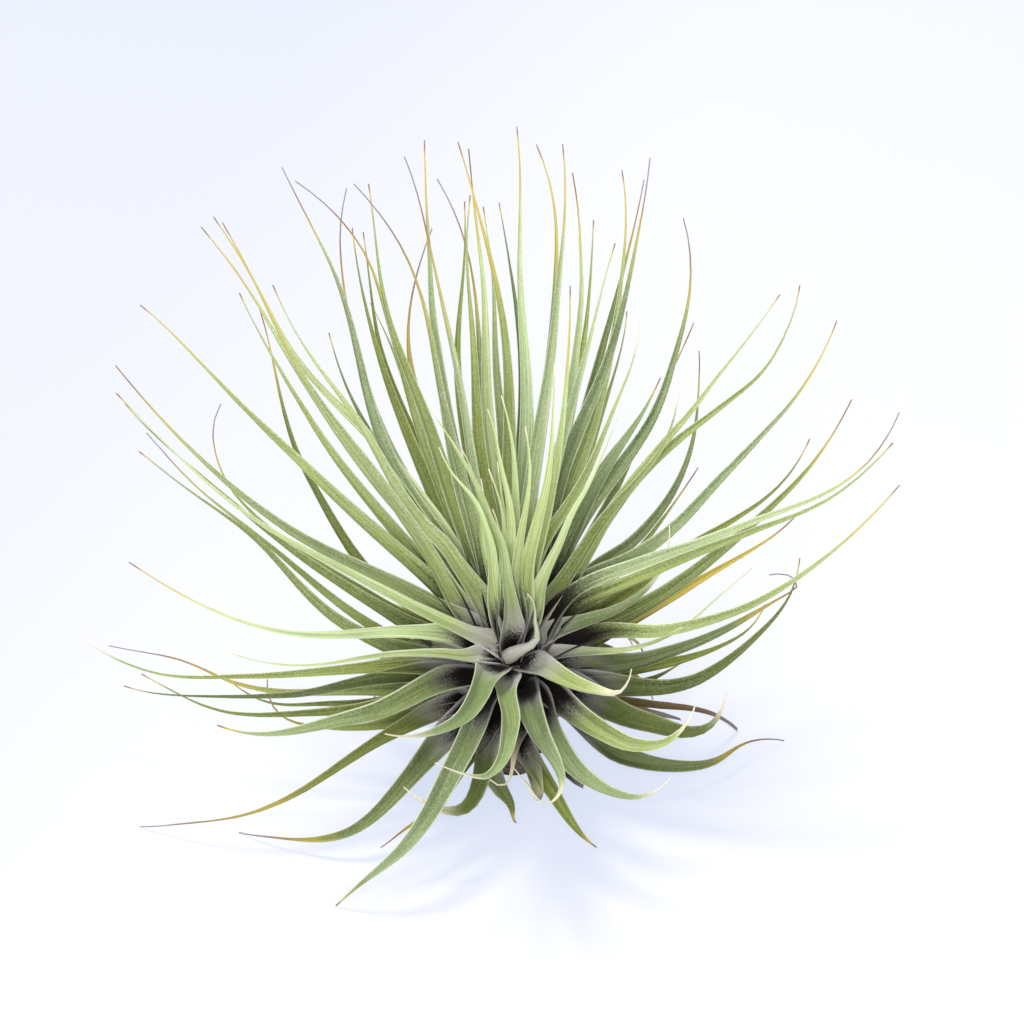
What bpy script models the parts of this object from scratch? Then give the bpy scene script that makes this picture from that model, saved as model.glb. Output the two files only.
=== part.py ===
"""A millennium air plant: a rosette of narrow channelled leaves on a short woody stem.

The rosette's axis leans forward (-Y) from the stem's flat cut base, which stands at the origin.
Each leaf's centre line is given as it is seen from in front and a little above, in millimetres
across and up from the crown, and its depth follows from how far the leaf leans from the axis.
"""

import math
import random

import bmesh
import bpy
from mathutils import Matrix, Vector

MM = 0.001

# The plant's pose: how far its axis leans forward and how high the crown stands.
AXIS_LEAN = math.radians(20)
CROWN_HEIGHT = 38 * MM
AXIS = Vector((0, -math.sin(AXIS_LEAN), math.cos(AXIS_LEAN)))
CROWN = AXIS * (CROWN_HEIGHT / AXIS.z)

# The eye that the leaves' across and up are measured from, and how a leaf's depth is searched:
# from this far behind the crown to this far in front, step by step.
SIGHT_SLOPE = math.radians(30)
SIGHT_DISTANCE = 900 * MM
SIGHT_RAISED = 32.5 * MM
SIGHT_UP = Vector((0, math.sin(SIGHT_SLOPE), math.cos(SIGHT_SLOPE)))
SIGHT_BACK = Vector((0, -math.cos(SIGHT_SLOPE), math.sin(SIGHT_SLOPE)))
EYE = CROWN + SIGHT_UP * SIGHT_RAISED + SIGHT_BACK * SIGHT_DISTANCE
DEPTH_SEARCHED = 140 * MM
DEPTH_STEP = 2 * MM
LEAN_MARGIN = math.radians(9)

# The stem, and the stretch of it that each ring of leaves is rooted on, measured along the axis
# from the crown (negative is down the stem), with the gap that keeps neighbouring pieces apart,
# and between which shares of its ring's height a leaf is rooted.
GAP = 0.3 * MM
STEM_RADIUS = 3 * MM
STEM_FOOT_RADIUS = 6 * MM
STEM_TOP = -4.4 * MM
STEM_BOTTOM = -46 * MM
STEM_SHOULDER = 1 * MM
FOOT_BELOW_LEAVES = 1 * MM
FOOT_SLOPE = 2.5 * MM
SIDES = 14
DEAD_RING = (-27 * MM, -18.6 * MM)
OUTER_RING = (-18.3 * MM, -10.1 * MM)
MIDDLE_RING = (-9.8 * MM, -4.2 * MM)
HEART = (-3.9 * MM, -0.6 * MM)
ROOTS_FROM, ROOTS_TO = 0.2, 0.6

# The blade: its thickness at the root, along it and at the tip, its channel's depth as a share of
# its width, the wider sheath at its root, and the length of one loft step.
ROOT_THICKNESS = 1.3 * MM
BLADE_THICKNESS = 1.0 * MM
TIP_THICKNESS = 0.6 * MM
TIP_WIDTH = 0.8 * MM
CHANNEL = 0.16
SHEATH_FLARE = 0.2
SHEATH_LENGTH = 7 * MM
STRETCH = 22 * MM
CURVE_STEPS = 12

# How a leaf arches toward the eye between root and tip: as a share of its length, and more where
# it drops to the surface; how early it takes on its tip's depth; and how steeply it leaves the stem.
BOW = 0.07
DROP_BOW = 9 * MM
EASE = 0.45
ROOT_LEAN_SHARE = 0.6
FLOOR_TOUCH = 0.2 * MM

GOLDEN_ANGLE = math.radians(137.508)
SEED = 7

# Each leaf: its centre line from the tip inward as (across, up) in millimetres, its lean from the
# axis at the tip in degrees (FLOOR for a tip that rests on the surface), its width in millimetres,
# and its end: the share of the width that it has lost at the tip, and how late it loses it.
FLOOR = "floor"
FINE = (1, 1.5)
FULL = (1, 3)
CUT = (0.45, 2)
HEART_LEAVES = (
    (((3.5, 13.5), (6.5, 5), (1, 0)), 24, 4.5, FINE),
    (((-7.2, 40), (-3, 27), (0, 10)), 12, 6.2, FINE),
    (((-4.7, 42.5), (-2, 24)), 20, 5.0, FINE),
    (((-6.5, 56), (-2, 43), (-1, 25)), 24, 5.0, FINE),
    (((-2.3, 59), (0, 40), (0.5, 22)), 30, 4.8, FINE),
    (((3, 48), (3.5, 40), (2, 22)), 20, 5.0, FINE),
    (((9.5, 66), (8, 40), (4, 14)), 28, 4.8, FINE),
    (((-20, 58), (-10, 40), (-5, 18)), 28, 5.0, FINE),
    (((-16.5, 47.5), (-11, 35), (-7, 13)), 24, 5.0, FINE),
    (((13.7, 84), (13.4, 72), (8, 34)), 32, 4.2, FINE),
    (((17, 46), (12, 30), (5, 9)), 26, 4.6, FINE),
    (((27, -3.5), (24.5, -9), (14, -7.5), (6, -3.5)), 52, 6.0, FULL),
    (((-90.5, 59), (-78, 47), (-55, 28.5), (-25, 12)), 50, 5.2, FINE),
    (((-65, 1), (-50, -2), (-25, -0.5), (-9, 0)), 54, 5.0, FINE),
    (((-17.5, -25), (-12, -27), (-3.5, -25), (-1, -11)), 54, 5.2, FULL),
    (((-29, -18), (-17, -18), (-8, -9.5)), 53, 5.8, FULL),
)
MIDDLE_LEAVES = (
    (((-52, 111), (-42, 90), (-28, 45), (-12, 18)), 50, 4.8, FINE),
    (((-49, 108), (-35, 93), (-28, 74), (-20, 48)), 56, 3.0, FINE),
    (((-37.5, 106), (-38.5, 92), (-31, 54)), 58, 3.2, FINE),
    (((-35.5, 107.5), (-25, 92), (-15, 55)), 44, 3.4, FINE),
    (((-33, 107), (-28.5, 80), (-18, 48)), 48, 5.0, FINE),
    (((-70.5, 97.5), (-62, 87), (-50, 65), (-30, 38), (-13, 18)), 50, 5.2, FINE),
    (((-68, 99.5), (-60.5, 87), (-47, 65), (-30, 44), (-13, 22)), 54, 5.0, FINE),
    (((-66.5, 98), (-58.5, 84), (-46, 61), (-28, 34), (-12, 14)), 46, 5.0, FINE),
    (((-61.5, 82.5), (-45, 51), (-25, 26)), 58, 4.6, FINE),
    (((-54.5, 84), (-36, 57), (-20, 30), (-8, 14)), 47, 5.2, FINE),
    (((-25, 113), (-20, 100), (-14, 70)), 44, 3.2, FINE),
    (((-20, 117), (-18.5, 95), (-18, 75), (-13, 45)), 46, 5.0, FINE),
    (((-18.7, 97), (-23.3, 74), (-19, 50)), 57, 4.4, FINE),
    (((-16.5, 108.5), (-11, 95), (-7, 60)), 52, 3.0, FINE),
    (((-12.5, 116.5), (-5, 92), (-1, 60)), 42, 4.8, FINE),
    (((-10, 115), (-7.5, 97), (-6, 65)), 50, 4.8, FINE),
    (((-9.5, 104.5), (-9.5, 80), (-8, 55)), 44, 4.8, FINE),
    (((-6, 102), (-4, 75), (-2, 50)), 56, 4.4, FINE),
    (((0.8, 120), (1.8, 95), (3, 50)), 46, 5.2, FINE),
    (((5.5, 116), (9.5, 99), (10, 80), (6, 50)), 52, 4.8, FINE),
    (((11, 116), (12.3, 100), (11, 85), (6, 50)), 42, 5.0, FINE),
    (((13.5, 109.5), (15.3, 92), (16, 80), (12, 52)), 55, 4.6, FINE),
    (((24.5, 110), (26, 92), (19, 55)), 57, 4.6, FINE),
    (((31.3, 113), (29.5, 97), (22, 68), (12, 42)), 47, 5.2, FINE),
    (((24, 93.5), (17, 70), (10, 42)), 41, 5.0, FINE),
    (((28.7, 76.5), (25.5, 62), (15, 36)), 43, 4.0, FINE),
    (((38.5, 99), (40.8, 83), (32, 57), (20, 36)), 57, 5.6, FINE),
    (((33, 61), (30, 56), (15, 28)), 52, 5.4, CUT),
    (((39, 63), (35, 49), (18, 26)), 48, 4.6, FINE),
    (((60.5, 82), (45, 61), (22, 33)), 54, 4.8, FINE),
    (((65.5, 84), (62, 70.5), (48, 57), (22, 30)), 59, 4.8, FINE),
    (((73.5, 76), (65, 59), (40, 32), (18, 16)), 57, 5.2, FINE),
    (((88.5, 55), (80, 43), (60, 32), (38, 24), (13, 13)), 56, 5.8, FINE),
    (((87, 48), (73, 37.5), (50, 26), (22, 14)), 60, 5.0, FINE),
    (((36.2, 29.5), (33.5, 17), (22, 9), (10, 3)), 50, 4.6, FINE),
    (((54.5, 20), (44, 10.5), (25, 2), (11, -1)), 58, 4.8, FINE),
    (((88.5, 38.5), (75, 25), (50, 10), (20, 4)), 60, 5.4, FINE),
    (((-87.5, 20.5), (-70, 11), (-50, 5), (-20, 4)), 60, 5.4, FINE),
    (((-90.5, 65.5), (-75, 48), (-50, 28), (-20, 10)), 56, 5.6, FINE),
    (((-85, 79), (-70, 66), (-52, 46.5), (-15, 12)), 54, 5.2, FINE),
    (((9, -29), (13.5, -27), (8.5, -18), (3.5, -9)), 60, 6.6, FULL),
    (((42, -11), (35, -20.5), (24, -18), (10, -10)), 72, 6.0, FULL),
    (((36.3, -27.5), (31, -32), (20, -30), (8, -15)), 74, 6.2, FULL),
    (((-40, -57), (-30, -49), (-15, -28), (-6, -12)), FLOOR, 6.0, FULL),
    (((-67, -16), (-50, -18), (-35, -15), (-14, -7)), 70, 5.4, FULL),
)
OUTER_LEAVES = (
    (((-36.5, 97), (-33, 80), (-27, 58)), 66, 4.8, FINE),
    (((-34, 96), (-31, 75), (-25, 56)), 71, 4.4, FINE),
    (((-32, 80), (-28, 70), (-20, 48)), 84, 4.6, FINE),
    (((-58, 80), (-52, 57), (-47, 42), (-34, 20)), 68, 3.4, FINE),
    (((-42, 73), (-35, 56), (-24, 34)), 80, 4.8, FINE),
    (((-11, 103), (-10.5, 92), (-12, 62)), 66, 4.6, FINE),
    (((-2.5, 103), (0, 87), (2, 60)), 69, 4.6, FINE),
    (((19, 99), (18.3, 88), (14, 60)), 67, 4.8, FINE),
    (((30, 108), (27, 92), (18, 60)), 65, 4.8, FINE),
    (((25.7, 78), (22.5, 60), (15, 38)), 81, 4.8, FINE),
    (((41, 75.5), (38.5, 70), (28, 46)), 80, 3.6, CUT),
    (((42.3, 69), (42.5, 55), (30, 26)), 73, 4.8, FINE),
    (((42.3, 42.5), (37, 34), (22, 16)), 94, 4.0, CUT),
    (((77.5, 58), (68, 43), (45, 20), (22, 4)), 75, 5.2, FINE),
    (((68, 49), (60, 38), (35, 20)), 84, 4.6, FINE),
    (((64.8, 32.5), (58, 26), (40, 15), (20, 3)), 82, 4.4, FINE),
    (((65.5, 22), (60, 9), (42, -6), (18, -8)), 75, 5.2, FINE),
    (((58.5, 17.5), (65, 16.5), (60, 12), (30, -2)), 80, 4.8, FINE),
    (((57, 11.5), (51, 3.5), (22, -5)), 88, 4.8, FINE),
    (((40, -1.5), (30, -6), (16, -10)), 96, 4.6, FINE),
    (((49.2, -8), (44.5, -16.5), (30, -16), (12, -9)), 76, 6.0, FULL),
    (((62, -20), (53, -20), (43, -24.5), (25, -23)), FLOOR, 5.2, FINE),
    (((19.3, -43.5), (14, -37), (6, -23)), FLOOR, 5.4, CUT),
    (((0.3, -26), (5.7, -33.5), (3, -22)), 74, 5.8, FULL),
    (((1.5, -37.5), (-3, -28), (-5, -17)), FLOOR, 5.0, CUT),
    (((-25, -30), (-18, -35.5), (-9, -34), (-5, -20)), 76, 5.8, FULL),
    (((-30, -43.5), (-21, -38), (-10, -24)), 88, 4.8, FINE),
    (((-62, -40.3), (-47, -42), (-34, -38.5), (-14, -18)), FLOOR, 5.4, FINE),
    (((-84.5, -39), (-65, -37.5), (-50, -32), (-22, -16)), FLOOR, 4.8, FINE),
    (((-55, -5.5), (-52.5, -13.5), (-42, -17), (-20, -14)), 92, 4.4, FINE),
    (((-84.5, -4.7), (-70, -11.5), (-50, -14), (-20, -11)), 84, 5.2, FINE),
    (((-88, -6.5), (-70, -10), (-50, -9), (-18, -6)), 76, 5.6, FINE),
    (((-66.5, -5), (-55, -10.5), (-24, -11)), 98, 4.8, FINE),
    (((-91.5, 2.5), (-78, -0.5), (-62, -7), (-25, -9)), 90, 4.6, FINE),
    (((-98, 4), (-80, -4), (-60, -5.5), (-20, -4)), 73, 5.2, FINE),
    (((-85, 46), (-62, 29), (-40, 8), (-18, -3)), 76, 5.4, FINE),
    (((-83.5, 50), (-73, 40), (-50, 20), (-22, 0)), 86, 4.0, FINE),
    (((-87.5, 57.5), (-80, 49), (-55, 27), (-22, 5)), 73, 5.0, FINE),
    (((-66, 57), (-67.5, 50), (-62, 35), (-30, 12)), 80, 3.6, FINE),
)

# The leaves at the back, which the others hide from in front: how many, from which side round
# to which (0 is +X, 90 is the back), and their range of lean and of length.
BACK_LEAVES = 24
BACK_SIDES = (8, 172)
BACK_LEANS = (72, 112)
BACK_LENGTHS = (62, 84)
BACK_WIDTH = 5.2
ARCH_SHARES = (0.35, 0.7, 1)
ARCH_LATENESS = 1.3

# The dead leaves: dry straws and shrivelled ends under the rosette, listed as the leaves are.
DEAD_LEAVES = (
    (((38.5, -15), (21, -12.5)), 112, 2.4, CUT),
    (((51, -17.2), (38, -12)), FLOOR, 2.2, CUT),
    (((16, -30), (10, -24)), 112, 3.0, CUT),
    (((-29, -3), (-16, -12)), 116, 2.6, CUT),
)

# The ones at the back: side round the stem and lean in degrees, and length in millimetres.
DEAD_BACK_LEAVES = ((58, 108, 40), (118, 112, 34), (152, 106, 44))
DEAD_BACK_WIDTH = 4

# Root stubs at the foot of the stem: side round the stem in degrees and length in millimetres.
ROOT_STUBS = ((20, 6), (95, 8), (165, 6), (240, 5), (310, 6))
ROOT_STUB_RADIUS = 0.7 * MM
ROOT_STUB_TIP_RADIUS = 0.4 * MM
ROOT_STUB_HEIGHT = 1.2 * MM
ROOT_STUB_SIDES = 6

LEAF_GREEN = (0.30, 0.42, 0.13, 1)
OLD_LEAF_GREEN = (0.16, 0.25, 0.07, 1)
YOUNG_LEAF_GREEN = (0.42, 0.55, 0.17, 1)
DRY_BROWN = (0.23, 0.14, 0.07, 1)
STEM_BROWN = (0.10, 0.06, 0.035, 1)


class Ring:
    """A stretch of the stem where leaf sheaths are fused round it, and how its leaves leave it."""

    def __init__(self, span, foot_radius, rim_radius, root_radius, root_lean):
        self.bottom, self.top = span
        self.foot_radius = foot_radius * MM
        self.rim_radius = rim_radius * MM
        self.root_radius = root_radius * MM
        self.root_lean = math.radians(root_lean)
        self.middle = CROWN + AXIS * ((self.bottom + self.top) / 2)

    def root(self, outward, share):
        """A root sunk in the ring, this share of the way up it, on the side that faces outward."""
        height = self.bottom + (self.top - self.bottom) * (ROOTS_FROM + (ROOTS_TO - ROOTS_FROM) * share)
        return CROWN + AXIS * height + outward * self.root_radius


HEART_SHEATHS = Ring(HEART, 4.4, 2.2, 2.2, 10)
MIDDLE_SHEATHS = Ring(MIDDLE_RING, 7.0, 5.8, 4.8, 28)
OUTER_SHEATHS = Ring(OUTER_RING, 7.4, 8.6, 6.0, 50)
DEAD_SHEATHS = Ring(DEAD_RING, 6.2, 7.2, 5.6, 80)


def sight_point(across, up, toward):
    """The point seen at (across, up), in millimetres, that lies this far toward the eye."""
    seen = CROWN + Vector((across * MM, 0, 0)) + SIGHT_UP * (up * MM)
    return seen.lerp(EYE, toward / SIGHT_DISTANCE)


def floor_depth(across, up, height):
    """How far toward the eye the sight line is this high above the surface."""
    seen = sight_point(across, up, 0)
    return SIGHT_DISTANCE * (height - seen.z) / (EYE.z - seen.z)


def lean_at(point, centre):
    return AXIS.angle(point - centre)


def depth_at_lean(across, up, lean, centre):
    """Comes along the sight line from behind, and stops where the point leans this little.

    Where the line never leans so little, it stops a margin short of the least that it does.
    """
    count = round(2 * DEPTH_SEARCHED / DEPTH_STEP)
    depths = [DEPTH_STEP * i - DEPTH_SEARCHED for i in range(count + 1)]
    leans = [lean_at(sight_point(across, up, depth), centre) for depth in depths]
    wanted = max(lean, min(leans) + LEAN_MARGIN)
    for i, found in enumerate(leans):
        if found <= wanted:
            break
    if i == 0:
        return depths[0]
    over = (leans[i - 1] - wanted) / (leans[i - 1] - found)
    return depths[i - 1] + DEPTH_STEP * over


def outward_of(point, centre):
    """The direction square to the axis in which this point lies."""
    offset = point - centre
    return (offset - AXIS * offset.dot(AXIS)).normalized()


def leaf_points(ring, seen, tip_lean, share):
    """The leaf's centre line from root to tip, and the direction in which it leaves the stem.

    Its tip's depth follows from its lean. Between root and tip the depth eases over, and bows
    toward the eye, because a leaf first rises along the axis and then arches out.
    """
    tip = seen[0]
    bow = 0
    root_lean = ring.root_lean
    if tip_lean == FLOOR:
        tip_depth = floor_depth(*tip, FLOOR_TOUCH)
        bow = DROP_BOW
    else:
        lean = math.radians(tip_lean)
        root_lean = max(root_lean, lean * ROOT_LEAN_SHARE)
        tip_depth = depth_at_lean(*tip, lean, ring.middle)
        tip_depth = max(tip_depth, floor_depth(*tip, FLOOR_TOUCH))
    tip_point = sight_point(*tip, tip_depth)
    outward = outward_of(tip_point, ring.middle)
    root = ring.root(outward, share)
    foot = ((root - CROWN).x / MM, (root - CROWN).dot(SIGHT_UP) / MM)
    root_depth = (root - CROWN).dot(SIGHT_BACK)
    stations = (foot,) + tuple(reversed(seen))
    steps = [math.dist(a, b) for a, b in zip(stations, stations[1:])]
    bow += BOW * sum(steps) * MM
    points = [root]
    gone = 0
    for step, (across, up) in zip(steps[:-1], stations[1:-1]):
        gone += step / sum(steps)
        depth = root_depth + (tip_depth - root_depth) * (gone + EASE * gone * (1 - gone))
        depth += bow * 4 * gone * (1 - gone)
        depth = max(depth, floor_depth(across, up, BLADE_THICKNESS))
        points.append(sight_point(across, up, depth))
    points.append(tip_point)
    return points, AXIS * math.cos(root_lean) + outward * math.sin(root_lean)


def smooth_line(points, start_direction, count):
    """Points evenly along a smooth curve through these, which leaves in the given direction."""
    slopes = [start_direction.normalized()]
    for before, here, after in zip(points, points[1:], points[2:]):
        slopes.append(
            ((here - before).normalized() + (after - here).normalized()).normalized()
        )
    slopes.append((2 * (points[-1] - points[-2]).normalized() - slopes[-1]).normalized())
    fine = []
    for i in range(len(points) - 1):
        chord = (points[i + 1] - points[i]).length
        leaving, arriving = slopes[i] * chord, slopes[i + 1] * chord
        for j in range(CURVE_STEPS):
            fine.append(hermite(points[i], points[i + 1], leaving, arriving, j / CURVE_STEPS))
    fine.append(points[-1])
    lengths = [0]
    for a, b in zip(fine, fine[1:]):
        lengths.append(lengths[-1] + (b - a).length)
    line = []
    reached = 0
    for i in range(count + 1):
        wanted = lengths[-1] * i / count
        while reached < len(fine) - 2 and lengths[reached + 1] < wanted:
            reached += 1
        within = (wanted - lengths[reached]) / (lengths[reached + 1] - lengths[reached])
        line.append(fine[reached].lerp(fine[reached + 1], min(within, 1)))
    return line, lengths[-1]


def hermite(start, end, start_slope, end_slope, t):
    return (
        start * (2 * t**3 - 3 * t**2 + 1)
        + start_slope * (t**3 - 2 * t**2 + t)
        + end * (3 * t**2 - 2 * t**3)
        + end_slope * (t**3 - t**2)
    )


def blade_size(share, length, width, end):
    """Width and thickness of a blade this share of the way from root to tip."""
    lost, power = end
    taper = 1 - lost * share**power
    flare = 1 + SHEATH_FLARE * math.exp(-((share * length / SHEATH_LENGTH) ** 2))
    thickness = BLADE_THICKNESS + (TIP_THICKNESS - BLADE_THICKNESS) * share
    thickness += (ROOT_THICKNESS - BLADE_THICKNESS) * (1 - share) ** 8
    return max(width * taper * flare, TIP_WIDTH), thickness


def blade_mesh(name, points, start, width, end):
    """A channelled blade: four-cornered sections lofted along its centre line and capped.

    Its upper side faces the axis at the root and turns with the centre line from there.
    """
    count = max(5, round(sum((b - a).length for a, b in zip(points, points[1:])) / STRETCH) + 1)
    line, length = smooth_line(points, start, count)
    upper_side = AXIS - outward_of(points[0], CROWN)
    shape = bmesh.new()
    sections = []
    for i, centre in enumerate(line):
        along = (line[min(i + 1, count)] - line[max(i - 1, 0)]).normalized()
        upper_side = (upper_side - along * upper_side.dot(along)).normalized()
        sideways = along.cross(upper_side)
        wide, thick = blade_size(i / count, length, width * MM, end)
        corners = (
            -sideways * (wide / 2) + upper_side * (CHANNEL * wide),
            -upper_side * (thick / 2),
            sideways * (wide / 2) + upper_side * (CHANNEL * wide),
            upper_side * (thick / 2),
        )
        section = []
        for corner in corners:
            place = centre + corner
            place.z = max(place.z, 0)
            section.append(shape.verts.new(place))
        sections.append(section)
    for (left, keel, right, channel), (left2, keel2, right2, channel2) in zip(sections, sections[1:]):
        for face in (
            (left, keel2, keel),
            (left, left2, keel2),
            (right, keel, keel2),
            (right, keel2, right2),
            (right, channel2, channel),
            (right, right2, channel2),
            (left, channel, channel2),
            (left, channel2, left2),
        ):
            shape.faces.new(face)
    for section in (sections[0], sections[-1]):
        left, keel, right, channel = section
        shape.faces.new((left, keel, channel))
        shape.faces.new((right, channel, keel))
    bmesh.ops.recalc_face_normals(shape, faces=shape.faces)
    mesh = bpy.data.meshes.new(name)
    shape.to_mesh(mesh)
    shape.free()
    return mesh


def stump_on_axis(name, bottom, top, bottom_radius, top_radius):
    """A cone stump on the plant's axis, between two heights measured from the crown."""
    shape = bmesh.new()
    bmesh.ops.create_cone(
        shape,
        cap_ends=True,
        segments=SIDES,
        radius1=bottom_radius,
        radius2=top_radius,
        depth=top - bottom,
        matrix=Matrix.Translation(CROWN + AXIS * ((bottom + top) / 2))
        @ Matrix.Rotation(AXIS_LEAN, 4, "X"),
    )
    mesh = bpy.data.meshes.new(name)
    shape.to_mesh(mesh)
    shape.free()
    return mesh


def material(name, color, roughness):
    made = bpy.data.materials.new(name)
    made.use_nodes = True
    shader = made.node_tree.nodes["Principled BSDF"]
    shader.inputs["Base Color"].default_value = color
    shader.inputs["Roughness"].default_value = roughness
    shader.inputs["Metallic"].default_value = 0
    made.diffuse_color = color
    return made


def apply_modifiers(piece):
    graph = bpy.context.evaluated_depsgraph_get()
    done = bpy.data.meshes.new_from_object(piece.evaluated_get(graph))
    piece.modifiers.clear()
    piece.data = done


def keep_largest_body(piece):
    """Drops the walls of hollows that the union sealed, which fills them, and any loose scrap."""
    shape = bmesh.new()
    shape.from_mesh(piece.data)
    bodies = []
    left = set(shape.verts)
    while left:
        body = {left.pop()}
        edge = list(body)
        while edge:
            for link in edge.pop().link_edges:
                for vert in link.verts:
                    if vert in left:
                        left.discard(vert)
                        body.add(vert)
                        edge.append(vert)
        bodies.append(body)
    largest = max(bodies, key=len)
    scraps = [vert for body in bodies if body is not largest for vert in body]
    bmesh.ops.delete(shape, geom=scraps, context="VERTS")
    bmesh.ops.triangulate(shape, faces=shape.faces)
    shape.to_mesh(piece.data)
    shape.free()


def join_to(piece, meshes):
    """One Boolean union of a piece with all these meshes."""
    group = bpy.data.collections.new(piece.name + " leaves")
    bpy.context.scene.collection.children.link(group)
    for mesh in meshes:
        group.objects.link(bpy.data.objects.new(mesh.name, mesh))
    union = piece.modifiers.new("join", "BOOLEAN")
    union.operation = "UNION"
    union.operand_type = "COLLECTION"
    union.collection = group
    apply_modifiers(piece)
    for leaf in list(group.objects):
        bpy.data.objects.remove(leaf)
    bpy.data.collections.remove(group)


def open_stem_hole(piece, cutters):
    """Opens the ring's hole, which the stem passes through with a small gap."""
    radius = STEM_RADIUS + GAP
    mesh = stump_on_axis(piece.name + " hole", STEM_BOTTOM, STEM_TOP + GAP, radius, radius)
    cutter = bpy.data.objects.new(mesh.name, mesh)
    cutter.hide_render = True
    cutter.display_type = "WIRE"
    cutters.objects.link(cutter)
    cut = piece.modifiers.new("stem hole", "BOOLEAN")
    cut.operation = "DIFFERENCE"
    cut.object = cutter
    apply_modifiers(piece)


def leafy_ring(name, ring, blades, finish, plant):
    """A ring of sheaths round the stem with its leaves fused to it."""
    core = stump_on_axis(name, ring.bottom, ring.top, ring.foot_radius, ring.rim_radius)
    piece = bpy.data.objects.new(name, core)
    plant.objects.link(piece)
    join_to(piece, blades)
    piece.data.materials.clear()
    piece.data.materials.append(finish)
    return piece


def listed_blades(name, ring, leaves):
    """A blade for each leaf of a list, their roots climbing the ring by turns."""
    blades = []
    for i, (seen, tip_lean, width, end) in enumerate(leaves):
        share = (i * 0.618) % 1
        points, start = leaf_points(ring, seen, tip_lean, share)
        blades.append(blade_mesh(f"{name} {i}", points, start, width, end))
    return blades


def hidden_blade(name, ring, side, lean, length, width, share):
    """A plain arching blade on any side of the plant, which the listed leaves hide from in front."""
    outward = Vector((math.cos(side), 0, 0)) + math.sin(side) * AXIS.cross(Vector((1, 0, 0)))
    points = [ring.root(outward, share)]
    for part in ARCH_SHARES:
        here = ring.root_lean + (lean - ring.root_lean) * part**ARCH_LATENESS
        point = ring.middle + (AXIS * math.cos(here) + outward * math.sin(here)) * length * part
        point.z = max(point.z, FLOOR_TOUCH)
        points.append(point)
    start = AXIS * math.cos(ring.root_lean) + outward * math.sin(ring.root_lean)
    return blade_mesh(name, points, start, width, FINE)


def back_blades(name, ring):
    """The hidden leaves at the back, one golden angle apart, arching out and a little down."""
    draw = random.Random(SEED)
    first, last = (math.radians(side) for side in BACK_SIDES)
    blades = []
    turn = 0
    while len(blades) < BACK_LEAVES:
        turn += 1
        side = (turn * GOLDEN_ANGLE) % math.tau
        if first < side < last:
            lean = math.radians(draw.uniform(*BACK_LEANS))
            length = draw.uniform(*BACK_LENGTHS) * MM
            share = draw.random()
            blades.append(
                hidden_blade(f"{name} {turn}", ring, side, lean, length, BACK_WIDTH, share)
            )
    return blades


def stem(name, finish, plant):
    """A short woody stem, turned, cut off flat on the surface it stands on, with root stubs."""
    foot_top = DEAD_RING[0] - FOOT_BELOW_LEAVES
    profile = (
        (0, STEM_TOP),
        (STEM_RADIUS - STEM_SHOULDER, STEM_TOP),
        (STEM_RADIUS, STEM_TOP - STEM_SHOULDER),
        (STEM_RADIUS, foot_top),
        (STEM_FOOT_RADIUS, foot_top - FOOT_SLOPE),
        (STEM_FOOT_RADIUS, STEM_BOTTOM),
        (0, STEM_BOTTOM),
    )
    mesh = bpy.data.meshes.new(name)
    edges = [(i, i + 1) for i in range(len(profile) - 1)]
    mesh.from_pydata([(radius, 0, height) for radius, height in profile], edges, [])
    piece = bpy.data.objects.new(name, mesh)
    plant.objects.link(piece)
    turn = piece.modifiers.new("turn", "SCREW")
    turn.steps = SIDES
    turn.render_steps = SIDES
    turn.use_merge_vertices = True
    turn.merge_threshold = 0.00001
    apply_modifiers(piece)
    piece.data.transform(Matrix.Translation(CROWN) @ Matrix.Rotation(AXIS_LEAN, 4, "X"))
    join_to(piece, [root_stub(side, length * MM) for side, length in ROOT_STUBS])
    shape = bmesh.new()
    shape.from_mesh(piece.data)
    cut = bmesh.ops.bisect_plane(
        shape,
        geom=shape.verts[:] + shape.edges[:] + shape.faces[:],
        plane_co=(0, 0, 0),
        plane_no=(0, 0, -1),
        clear_outer=True,
    )
    rim = [item for item in cut["geom_cut"] if isinstance(item, bmesh.types.BMEdge)]
    bmesh.ops.holes_fill(shape, edges=rim)
    bmesh.ops.triangulate(shape, faces=shape.faces)
    shape.to_mesh(piece.data)
    shape.free()
    piece.data.materials.clear()
    piece.data.materials.append(finish)
    return piece


def root_stub(side, length):
    """A short wiry root, snapped off, that sticks out from the foot of the stem."""
    angle = math.radians(side)
    outward = Vector((math.cos(angle), math.sin(angle), 0))
    root, tip = STEM_FOOT_RADIUS / 2, STEM_FOOT_RADIUS + length
    middle = outward * ((root + tip) / 2)
    middle.z = ROOT_STUB_HEIGHT
    laid = Vector((0, 0, 1)).rotation_difference(outward).to_matrix().to_4x4()
    shape = bmesh.new()
    bmesh.ops.create_cone(
        shape,
        cap_ends=True,
        segments=ROOT_STUB_SIDES,
        radius1=ROOT_STUB_RADIUS,
        radius2=ROOT_STUB_TIP_RADIUS,
        depth=tip - root,
        matrix=Matrix.Translation(middle) @ laid,
    )
    mesh = bpy.data.meshes.new("root stub")
    shape.to_mesh(mesh)
    shape.free()
    return mesh


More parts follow.
